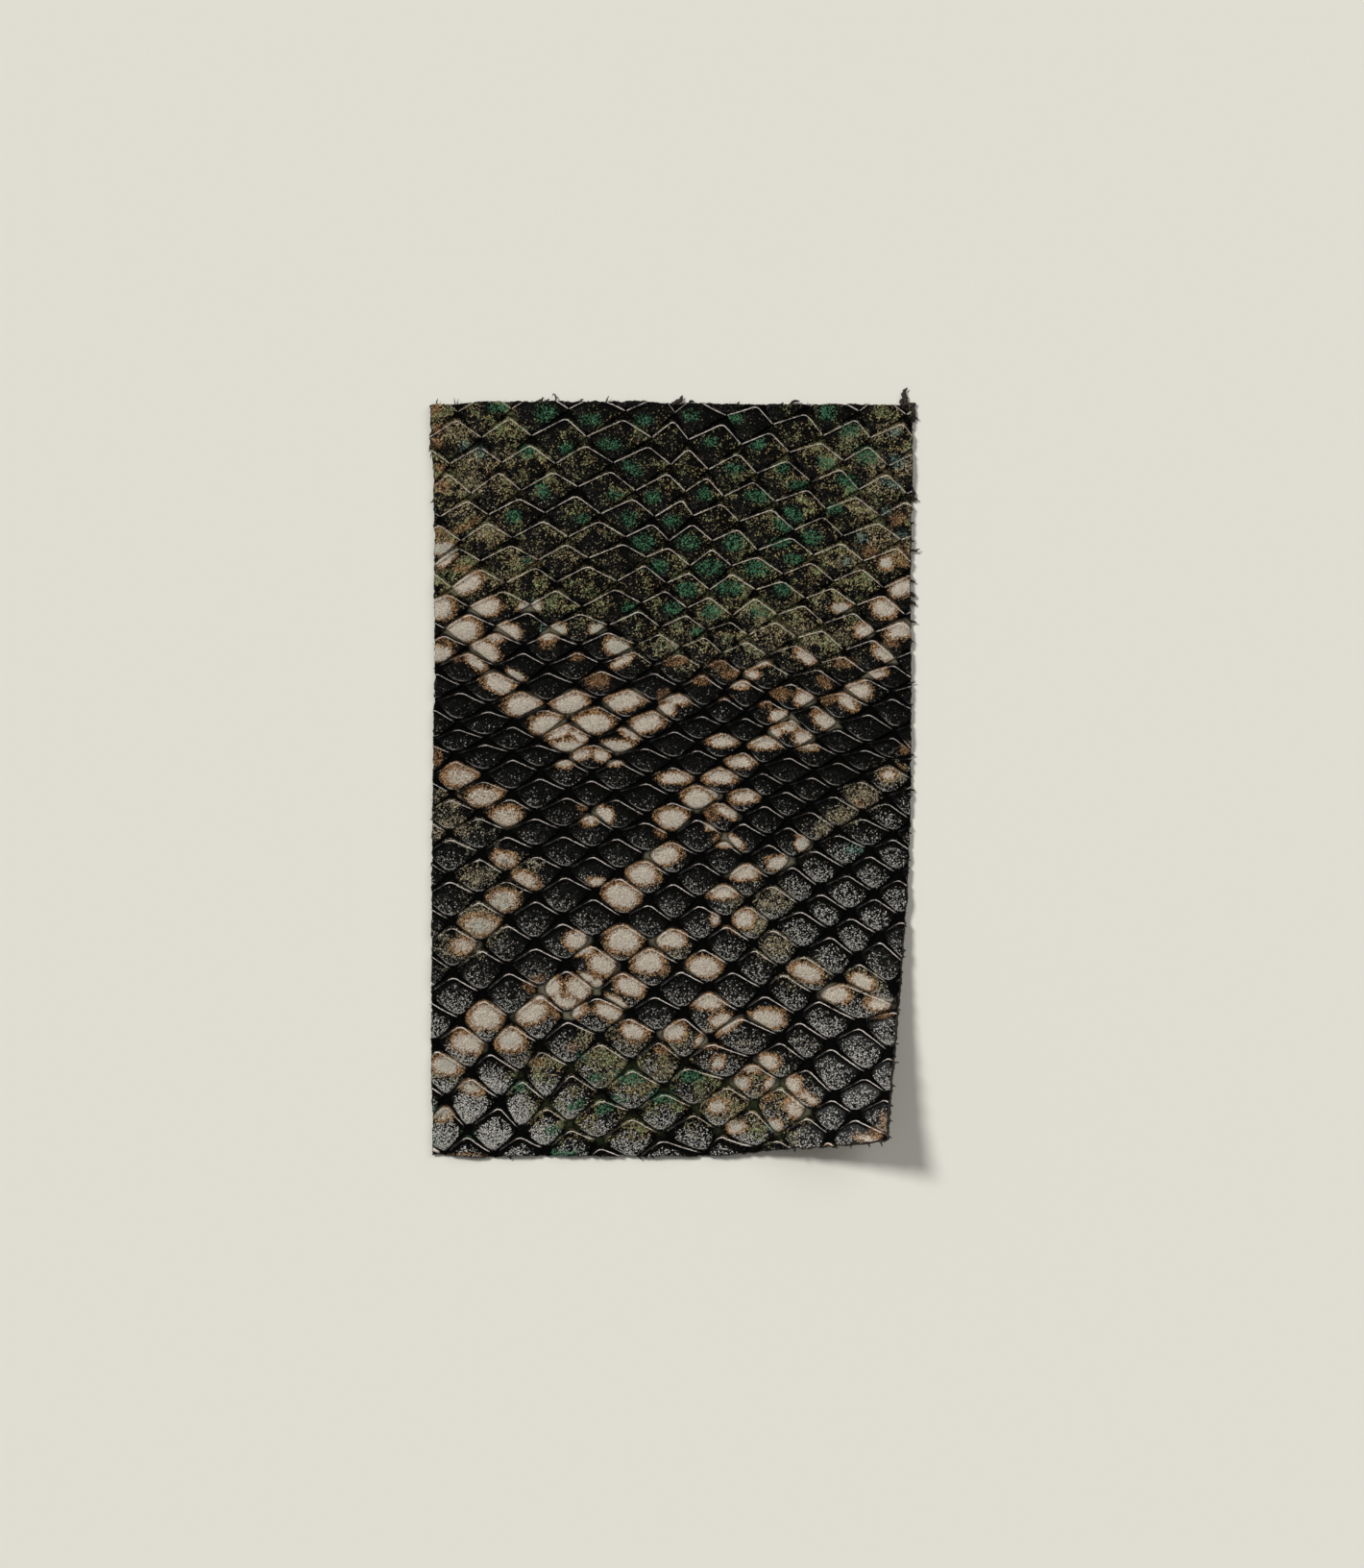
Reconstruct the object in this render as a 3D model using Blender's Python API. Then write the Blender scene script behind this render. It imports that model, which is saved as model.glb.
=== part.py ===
"""Tanned snake skin: a hand-cut rectangle of scaled leather, lying flat with one corner curled up.

The skin is one grown piece, so it is one solid. Metres, +Z up: the underside lies at z = 0,
the scales face up, and their points face +Y. The origin is under the middle of the sheet.
"""

import math
import random

import bmesh
import bpy
from mathutils import Vector

MM = 0.001
NAME = "snake_skin"

# Heights above the underside, in mm
GROOVE_TOP = 0.70
CREST_TOP = 1.55
SHOULDER_TOP = 1.20
HEEL_TOP = 0.95
PAD_TOP = 1.45

# The groove round each scale: half its width, in mm
GROOVE_HALF = 0.75
# How far the corners of a scale draw in, as shares of the way to its middle
SIDE_PULL = 0.16
HEEL_PULL = 0.22
# How far the lower edges belly out, as a share of the way from its middle
BELLY = 0.10

# The points of the scales in mm, every 6th row from the top edge down, every 4th column across.
# Rows are half a scale apart, and so are columns: a scale sits where row + column is even.
NET_ROW_STEP = 6
NET_COLUMN_STEP = 4
NET = (
    ((-45.7, 73.6), (-22.5, 74.0), (-0.5, 73.4), (19.9, 70.8), (40.1, 68.0), (59.7, 65.2)),
    ((-51.3, 41.6), (-28.9, 42.6), (-6.5, 43.2), (11.3, 41.4), (32.5, 38.2), (52.9, 35.2)),
    ((-56.3, 16.0), (-31.9, 16.6), (-9.9, 17.0), (9.9, 15.4), (28.9, 13.8), (50.3, 10.4)),
    ((-59.1, -6.4), (-34.3, -5.8), (-12.9, -5.8), (9.3, -6.6), (27.7, -8.4), (49.3, -11.6)),
    ((-58.7, -32.8), (-35.3, -32.0), (-11.3, -31.8), (10.1, -32.2), (31.9, -34.4), (52.3, -36.8)),
    ((-54.3, -64.0), (-32.3, -64.2), (-9.5, -62.0), (15.7, -61.0), (39.5, -64.0), (59.4, -66.8)),
)
# From a scale's point to the corner of its cell, in the middle of the groove above it, in mm
CELL_CORNER = (0.3, 1.6)
# The lattice is laid this many cells each way before it is trimmed
LATTICE_FIRST = -16
LATTICE_CELLS = 50
TRIM_MARGIN = 12.0

# The cut edge of the sheet before its corner curls, corner to corner, in mm
LEFT_EDGE = ((-50.9, 76.4), (-51.0, 68.8), (-50.2, 61.0), (-50.1, 20.0), (-50.7, -18.0), (-50.8, -60.0),
             (-50.4, -79.2))
BOTTOM_EDGE = ((-50.4, -79.2), (-42.0, -80.0), (-28.0, -79.6), (-6.0, -79.8), (11.0, -79.5), (19.4, -78.6),
               (29.6, -78.0), (37.0, -77.8), (45.6, -76.9))
RIGHT_EDGE = ((45.6, -76.9), (45.7, -65.4), (46.2, -55.3), (47.2, -39.3), (48.1, -25.2), (48.9, -5.0),
              (48.8, 40.0), (49.2, 72.0), (48.9, 76.4))
TOP_EDGE = ((48.9, 76.4), (38.0, 76.5), (15.0, 76.5), (-1.0, 76.8), (-8.0, 77.2), (-40.0, 77.1),
            (-50.9, 76.4))
JAG_STEP = 2.4
JAG_DEPTH = 0.16
SEED = 41

# Tufts that stand out from the cut edge, side by side: where each is rooted, how far its tip
# reaches, and its width, in mm
BOTTOM_TUFTS = (
    ((-34.4, -79.8), (0.0, -0.7), 1.4),
    ((-6.4, -79.8), (-0.5, -0.7), 3.0),
    ((4.2, -79.7), (0.0, -0.4), 1.4),
    ((24.6, -78.3), (0.0, -0.8), 0.8),
)
RIGHT_TUFTS = (
    ((49.2, 73.6), (1.2, 0.2), 2.6),
    ((49.1, 57.4), (1.6, -0.8), 2.8),
    ((48.9, 46.2), (2.0, 0.0), 1.2),
    ((48.9, 39.8), (0.9, 0.3), 1.6),
    ((48.9, 36.4), (1.1, 0.4), 1.4),
    ((48.9, 31.4), (1.1, 0.2), 1.0),
    ((48.9, 27.0), (0.8, 0.2), 1.6),
    ((48.9, 18.6), (1.1, 0.0), 0.9),
    ((48.9, 3.8), (0.9, 0.2), 1.4),
    ((48.9, -3.6), (1.0, 0.2), 1.2),
    ((48.5, -19.0), (0.7, 0.2), 1.2),
    ((47.3, -37.4), (0.8, 0.0), 1.6),
    ((45.9, -60.6), (0.8, 0.0), 1.0),
)
TOP_TUFTS = (
    ((-45.9, 77.0), (0.6, 1.0), 1.4),
    ((-27.8, 77.1), (0.4, 0.8), 2.0),
    ((-25.0, 77.1), (-0.2, 1.7), 0.8),
    ((-19.6, 77.1), (0.8, 0.4), 2.0),
    ((-13.9, 77.1), (-0.2, 1.2), 1.2),
    ((0.9, 76.8), (0.8, 1.3), 1.6),
    ((13.1, 76.5), (0.1, 0.6), 1.2),
    ((24.9, 76.5), (0.6, 0.6), 2.0),
    ((47.8, 76.4), (0.3, 3.8), 1.6),
)

# The corner curls up round a cylinder whose axis crosses it: the way it curls, where that starts
# along that way, and the cylinder's radius, in mm
CURL_WAY = Vector((0.84, -0.54, 0.0)).normalized()
CURL_START = 46.45
CURL_RADIUS = 52.0
CURL_FACETS = 6
CURL_FACET = 6.2

HIDE_COLOUR = (0.055, 0.050, 0.042, 1.0)
HIDE_ROUGHNESS = 0.62


def clear_scene():
    """Remove every object that the file opened with."""
    for thing in list(bpy.data.objects):
        bpy.data.objects.remove(thing, do_unlink=True)


def collection(name):
    """Make a collection and link it to the scene."""
    made = bpy.data.collections.new(name)
    bpy.context.scene.collection.children.link(made)
    return made


def spline(points, step, at):
    """Read a smooth curve through evenly spaced points, running straight on past both ends."""
    place = at / step
    last = len(points) - 1
    if place <= 0:
        return points[0] + place * (points[1] - points[0])
    if place >= last:
        return points[last] + (place - last) * (points[last] - points[last - 1])
    index = min(int(place), last - 1)
    t = place - index
    here = points[index]
    following = points[index + 1]
    before = points[index - 1] if index else 2 * here - following
    after = points[index + 2] if index + 2 <= last else 2 * following - here
    bend = 2 * before - 5 * here + 4 * following - after
    twist = 3 * here - before - 3 * following + after
    return 0.5 * (2 * here + (following - before) * t + bend * t * t + twist * t ** 3)


def cell_corner(row, column):
    """Give the top corner of the cell whose scale is at this row and column, in mm."""
    across = [spline([Vector(point) for point in line], NET_COLUMN_STEP, column) for line in NET]
    return spline(across, NET_ROW_STEP, row) + Vector(CELL_CORNER)


def jagged(side, tufts, rng):
    """Walk one side of the sheet, a small jag at each step, with its tufts in their places."""
    corners = [Vector(point) for point in side]
    walked = []
    for start, end in zip(corners, corners[1:]):
        steps = max(1, round((end - start).length / JAG_STEP))
        out = Vector(((end - start).y, -(end - start).x)).normalized()
        for index in range(steps):
            depth = rng.uniform(-JAG_DEPTH, JAG_DEPTH) if index else 0.0
            walked.append(start.lerp(end, index / steps) + out * depth)
    walked.append(corners[-1])
    way = (corners[-1] - corners[0]).normalized()
    for root, reach, width in tufts:
        root = Vector(root)
        half = way * width / 2
        before = [point for point in walked if (point - root).dot(way) < -0.6 * width]
        after = [point for point in walked if (point - root).dot(way) > 0.6 * width]
        walked = before + [root - half, root + Vector(reach), root + half] + after
    return walked


def outline():
    """Give the cut edge of the flat sheet as one ring of points, anticlockwise from above, in mm."""
    rng = random.Random(SEED)
    sides = ((LEFT_EDGE, ()), (BOTTOM_EDGE, BOTTOM_TUFTS), (RIGHT_EDGE, RIGHT_TUFTS), (TOP_EDGE, TOP_TUFTS))
    ring = []
    for side, tufts in sides:
        ring += jagged(side, tufts, rng)[:-1]
    return ring


def make_cutter(where):
    """Make the block that trims the scaled sheet to its cut edge."""
    curve = bpy.data.curves.new("cut_edge", "CURVE")
    curve.dimensions = "2D"
    curve.fill_mode = "BOTH"
    curve.extrude = 4 * MM
    ring = outline()
    line = curve.splines.new("POLY")
    line.points.add(len(ring) - 1)
    for point, place in zip(line.points, ring):
        point.co = (place.x * MM, place.y * MM, 0.0, 1.0)
    line.use_cyclic_u = True
    holder = bpy.data.objects.new("cut_edge_curve", curve)
    where.objects.link(holder)
    bpy.context.view_layer.update()
    mesh = bpy.data.meshes.new_from_object(holder.evaluated_get(bpy.context.evaluated_depsgraph_get()))
    bpy.data.objects.remove(holder)
    bm = bmesh.new()
    bm.from_mesh(mesh)
    bmesh.ops.remove_doubles(bm, verts=bm.verts, dist=0.01 * MM)
    bmesh.ops.recalc_face_normals(bm, faces=bm.faces)
    bm.to_mesh(mesh)
    bm.free()
    cutter = bpy.data.objects.new("cut_edge", mesh)
    cutter.hide_render = True
    cutter.display_type = "WIRE"
    where.objects.link(cutter)
    return cutter


def lay_lattice(bm):
    """Lay the cells, one to a scale, over the sheet and a little past it."""
    bmesh.ops.create_grid(bm, x_segments=LATTICE_CELLS, y_segments=LATTICE_CELLS, size=LATTICE_CELLS / 2)
    for vert in bm.verts:
        first = round(vert.co.x + LATTICE_CELLS / 2) + LATTICE_FIRST
        second = round(vert.co.y + LATTICE_CELLS / 2) + LATTICE_FIRST
        place = cell_corner(first + second, first - second)
        vert.co = (place.x, place.y, GROOVE_TOP)
    reach_x = RIGHT_EDGE[-1][0] + TRIM_MARGIN
    reach_y = TOP_EDGE[0][1] + TRIM_MARGIN
    outside = []
    for face in bm.faces:
        middle = face.calc_center_median()
        if abs(middle.x) > reach_x or abs(middle.y) > reach_y:
            outside.append(face)
    bmesh.ops.delete(bm, geom=outside, context="FACES")
    bmesh.ops.recalc_face_normals(bm, faces=bm.faces)
    if next(iter(bm.faces)).normal.z < 0:
        bmesh.ops.reverse_faces(bm, faces=bm.faces)


def raise_scales(bm):
    """Inset a pad in each cell and shape it: crest at its point, belly below, rounded corners."""
    pads = list(bm.faces)
    bmesh.ops.inset_individual(bm, faces=pads, thickness=GROOVE_HALF, use_even_offset=True)
    rims = list({edge for pad in pads for edge in pad.edges})
    bmesh.ops.bisect_edges(bm, edges=rims, cuts=1)
    for pad in pads:
        middle = pad.calc_center_median()
        verts = [loop.vert for loop in pad.loops]
        top = max(range(len(verts)), key=lambda index: verts[index].co.y)
        point, upper_a, side_a, lower_a, heel, lower_b, side_b, upper_b = verts[top:] + verts[:top]
        for vert in (side_a, side_b):
            vert.co = vert.co.lerp(middle, SIDE_PULL)
            vert.co.z = SHOULDER_TOP
        for vert in (lower_a, lower_b):
            vert.co = middle.lerp(vert.co, 1 + BELLY)
            vert.co.z = HEEL_TOP
        for vert in (upper_a, upper_b):
            vert.co.z = CREST_TOP
        point.co.z = CREST_TOP
        heel.co = heel.co.lerp(middle, HEEL_PULL)
        heel.co.z = HEEL_TOP
    hubs = bmesh.ops.poke(bm, faces=pads)["verts"]
    for hub in hubs:
        hub.co.z = PAD_TOP


def close_underside(bm):
    """Carry the rim of the lattice down to the underside and close it with one flat face."""
    rim = [edge for edge in bm.edges if edge.is_boundary]
    carried = bmesh.ops.extrude_edge_only(bm, edges=rim)["geom"]
    lowered = [item for item in carried if isinstance(item, bmesh.types.BMVert)]
    for vert in lowered:
        vert.co.z = 0.0
    ring = [item for item in carried if isinstance(item, bmesh.types.BMEdge)]
    bmesh.ops.holes_fill(bm, edges=ring, sides=0)
    bmesh.ops.recalc_face_normals(bm, faces=bm.faces)


def make_sheet(where):
    """Make the untrimmed scaled sheet."""
    bm = bmesh.new()
    lay_lattice(bm)
    raise_scales(bm)
    close_underside(bm)
    bmesh.ops.scale(bm, vec=(MM, MM, MM), verts=bm.verts)
    mesh = bpy.data.meshes.new(NAME)
    bm.to_mesh(mesh)
    bm.free()
    sheet = bpy.data.objects.new(NAME, mesh)
    where.objects.link(sheet)
    return sheet


def trim(sheet, cutter):
    """Cut the sheet to its edge and keep the result as its mesh."""
    boolean = sheet.modifiers.new("cut_edge", "BOOLEAN")
    boolean.operation = "INTERSECT"
    boolean.solver = "EXACT"
    boolean.object = cutter
    bpy.context.view_layer.update()
    trimmed = bpy.data.meshes.new_from_object(sheet.evaluated_get(bpy.context.evaluated_depsgraph_get()))
    sheet.modifiers.clear()
    sheet.data = trimmed
    trimmed.name = NAME


def curled(place):
    """Give where a point of the flat sheet lies once its corner has curled up, in metres."""
    start = CURL_START * MM
    radius = CURL_RADIUS * MM
    past = place.dot(CURL_WAY) - start
    if past <= 0:
        return place
    angle = past / radius
    inner = radius - place.z
    along = CURL_WAY * (inner * math.sin(angle) - past)
    return Vector((place.x + along.x, place.y + along.y, radius - inner * math.cos(angle)))


def curl_corner(sheet):
    """Facet the underside where the corner curls, then bend the sheet round the cylinder."""
    bm = bmesh.new()
    bm.from_mesh(sheet.data)
    for index in range(CURL_FACETS):
        along = (CURL_START + index * CURL_FACET) * MM
        under = [face for face in bm.faces if face.normal.z < -0.99]
        edges = list({edge for face in under for edge in face.edges})
        verts = list({vert for face in under for vert in face.verts})
        bmesh.ops.bisect_plane(bm, geom=verts + edges + under, plane_co=CURL_WAY * along,
                               plane_no=CURL_WAY, dist=0.02 * MM)
    for vert in bm.verts:
        vert.co = curled(vert.co)
    bmesh.ops.recalc_face_normals(bm, faces=bm.faces)
    bm.to_mesh(sheet.data)
    bm.free()


def dress(sheet):
    """Give the skin its plain dark hide colour."""
    hide = bpy.data.materials.new("hide")
    hide.use_nodes = True
    surface = hide.node_tree.nodes["Principled BSDF"]
    surface.inputs["Base Color"].default_value = HIDE_COLOUR
    surface.inputs["Roughness"].default_value = HIDE_ROUGHNESS
    surface.inputs["Metallic"].default_value = 0.0
    sheet.data.materials.clear()
    sheet.data.materials.append(hide)


def main():
    """Build the skin."""
    clear_scene()
    skin_parts = collection("tanned_snake_skin")
    cutters = collection("cutters")
    sheet = make_sheet(skin_parts)
    cutter = make_cutter(cutters)
    trim(sheet, cutter)
    curl_corner(sheet)
    dress(sheet)


main()
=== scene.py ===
"""Looks of a tanned snake skin: a hand-cut rectangle of scaled leather with one corner curled up.

The skin is one grown sheet. Its scales, the grooves between them and its cut edge are modelled in
the mesh; the fine grain of the leather and its markings come from the finishes. Metres, +Z up.
"""

from __future__ import annotations

import logging
import math
import random
from contextlib import contextmanager
from dataclasses import dataclass, field
from enum import Enum
from typing import Iterator, Sequence

import bpy
import numpy as np
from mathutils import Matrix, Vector

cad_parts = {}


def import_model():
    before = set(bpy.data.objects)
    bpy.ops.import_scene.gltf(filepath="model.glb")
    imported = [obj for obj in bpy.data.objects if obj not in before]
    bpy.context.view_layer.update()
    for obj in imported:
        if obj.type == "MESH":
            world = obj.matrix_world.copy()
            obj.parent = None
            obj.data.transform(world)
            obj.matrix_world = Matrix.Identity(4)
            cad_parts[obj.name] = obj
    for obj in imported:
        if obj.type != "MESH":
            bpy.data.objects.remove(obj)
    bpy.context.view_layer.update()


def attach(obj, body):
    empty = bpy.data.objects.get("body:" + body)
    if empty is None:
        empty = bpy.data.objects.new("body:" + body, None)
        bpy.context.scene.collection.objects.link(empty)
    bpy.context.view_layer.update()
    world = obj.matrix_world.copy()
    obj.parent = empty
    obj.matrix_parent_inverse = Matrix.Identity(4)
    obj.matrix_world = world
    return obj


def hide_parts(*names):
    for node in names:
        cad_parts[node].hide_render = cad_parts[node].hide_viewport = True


LOG = logging.getLogger("snake_skin")
MM = 0.001
TOUCHING = 1e-7
NODE = "snake_skin"
BODY = "root"

# Places read off the photograph are in its pixels; this turns them into the frame's metres
PIXEL = 0.2 * MM
PIXEL_OF_ORIGIN = (703.5, 804.0)
PIXEL_OF_VIEW = (710.0, 816.0)
VIEW_PIXELS_HIGH = 1632

Colour = tuple[float, float, float]

# The point of each scale, row by row from the top: the first column of the row, then x, y, x, y in
# pixels. Rows are half a scale apart and so are columns, so a row has every second column.
SCALE_POINTS: dict[int, tuple[int, tuple[int, ...]]] = {
    -1: (11, (790, 421, 841, 430, 893, 436, 943, 440)),
    0: (0, (475, 436, 531, 434, 591, 434, 650, 436, 701, 437, 755, 440, 803, 450, 855, 462, 904, 464)),
    1: (1, (500, 464, 552, 462, 609, 463, 677, 464, 715, 466, 770, 471, 820, 479, 877, 488, 923, 493)),
    2: (0, (467, 491, 521, 490, 577, 491, 637, 490, 697, 492, 736, 497, 786, 501, 843, 510, 892, 518,
            943, 522)),
    3: (1, (489, 522, 541, 519, 600, 515, 660, 519, 712, 520, 752, 525, 805, 530, 858, 538, 915, 545)),
    4: (0, (454, 546, 507, 544, 566, 542, 624, 543, 680, 546, 720, 545, 768, 551, 825, 560, 876, 566,
            937, 570)),
    5: (1, (479, 571, 532, 568, 590, 567, 650, 567, 695, 571, 740, 571, 787, 581, 845, 586, 897, 592)),
    6: (0, (447, 596, 499, 592, 559, 591, 611, 589, 671, 588, 717, 597, 760, 597, 814, 606, 866, 613,
            918, 620)),
    7: (1, (469, 620, 525, 615, 578, 614, 641, 613, 692, 615, 737, 622, 785, 622, 837, 631, 890, 638,
            942, 648)),
    8: (2, (487, 640, 551, 638, 604, 640, 666, 636, 714, 641, 761, 649, 808, 648, 856, 657, 909, 666)),
    9: (1, (461, 663, 515, 660, 570, 661, 632, 659, 686, 661, 734, 664, 777, 669, 828, 672, 877, 685,
            930, 694)),
    10: (2, (487, 681, 544, 680, 602, 680, 662, 679, 707, 682, 750, 688, 797, 690, 851, 698, 901, 709,
             950, 715)),
    11: (1, (450, 702, 515, 701, 568, 701, 624, 699, 679, 701, 730, 703, 771, 709, 822, 712, 876, 723,
             926, 728)),
    12: (2, (480, 722, 544, 721, 598, 720, 654, 719, 706, 723, 753, 727, 797, 730, 848, 735, 905, 744)),
    13: (1, (447, 738, 507, 742, 567, 741, 624, 736, 680, 741, 731, 747, 775, 749, 822, 751, 870, 761,
             930, 769)),
    14: (2, (475, 761, 533, 757, 589, 754, 649, 759, 702, 762, 752, 764, 797, 767, 847, 776, 900, 783,
             950, 793)),
    15: (1, (447, 778, 505, 777, 558, 778, 618, 777, 672, 781, 725, 782, 774, 784, 821, 790, 872, 795,
             924, 799)),
    16: (2, (472, 793, 532, 791, 589, 793, 641, 793, 700, 800, 748, 800, 791, 806, 846, 811, 897, 815)),
    17: (3, (503, 815, 561, 811, 615, 814, 673, 817, 724, 819, 776, 822, 817, 826, 866, 830, 921, 837)),
    18: (2, (469, 834, 532, 833, 590, 831, 639, 833, 698, 837, 750, 837, 795, 840, 842, 846, 896, 854,
             948, 862)),
    19: (3, (497, 853, 556, 854, 615, 851, 672, 858, 724, 853, 770, 858, 818, 862, 870, 871, 928, 875)),
    20: (2, (466, 875, 526, 872, 585, 872, 640, 874, 698, 878, 753, 878, 799, 880, 846, 887, 903, 892)),
    21: (3, (499, 895, 557, 892, 616, 893, 671, 898, 727, 899, 775, 901, 823, 903, 880, 912, 933, 917)),
    22: (2, (467, 919, 525, 919, 587, 914, 643, 915, 699, 921, 753, 922, 802, 923, 852, 932, 909, 937)),
    23: (3, (497, 940, 557, 939, 617, 936, 674, 943, 726, 944, 777, 945, 832, 950, 883, 957, 936, 961)),
    24: (2, (468, 966, 527, 964, 584, 962, 647, 963, 700, 968, 754, 965, 802, 969, 863, 976, 914, 981)),
    25: (3, (500, 990, 555, 988, 615, 985, 676, 988, 729, 989, 783, 990, 834, 997, 890, 1004, 945, 1013)),
    26: (2, (470, 1018, 527, 1013, 588, 1010, 645, 1013, 707, 1012, 760, 1013, 811, 1015, 871, 1026,
             925, 1033)),
    27: (3, (501, 1042, 562, 1037, 620, 1040, 679, 1039, 736, 1034, 793, 1037, 847, 1043, 935, 1056)),
    28: (2, (478, 1068, 530, 1067, 588, 1064, 653, 1061, 710, 1060, 769, 1061, 829, 1065, 893, 1071)),
    29: (1, (450, 1093, 507, 1097, 560, 1094, 623, 1086, 684, 1084, 736, 1088, 811, 1086, 863, 1092,
             925, 1101)),
    30: (2, (488, 1122, 542, 1125, 592, 1118, 656, 1114, 710, 1113, 782, 1109, 840, 1114, 901, 1124)),
    31: (1, (464, 1150, 520, 1152, 568, 1154, 624, 1146, 690, 1140, 757, 1132, 811, 1133, 867, 1147,
             925, 1144)),
    32: (2, (485, 1183, 540, 1184, 592, 1177, 657, 1165, 722, 1161, 784, 1156, 841, 1164, 888, 1166)),
    33: (1, (460, 1210, 512, 1209, 567, 1205, 622, 1195, 686, 1188, 745, 1184, 808, 1190, 864, 1189)),
}


class Mark(Enum):
    """The kinds of marking on the skin, and where the painted sheen is thickest, each an attribute of its
    mesh.
    """

    PALE = "pale"
    GREEN = "green"
    BLUE = "blue"
    RUST = "rust"
    KHAKI = "khaki"
    # Not a marking: where the painted sheen and glints are thickest
    SHINE = "shine"
    BEIGE = "beige"


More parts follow.
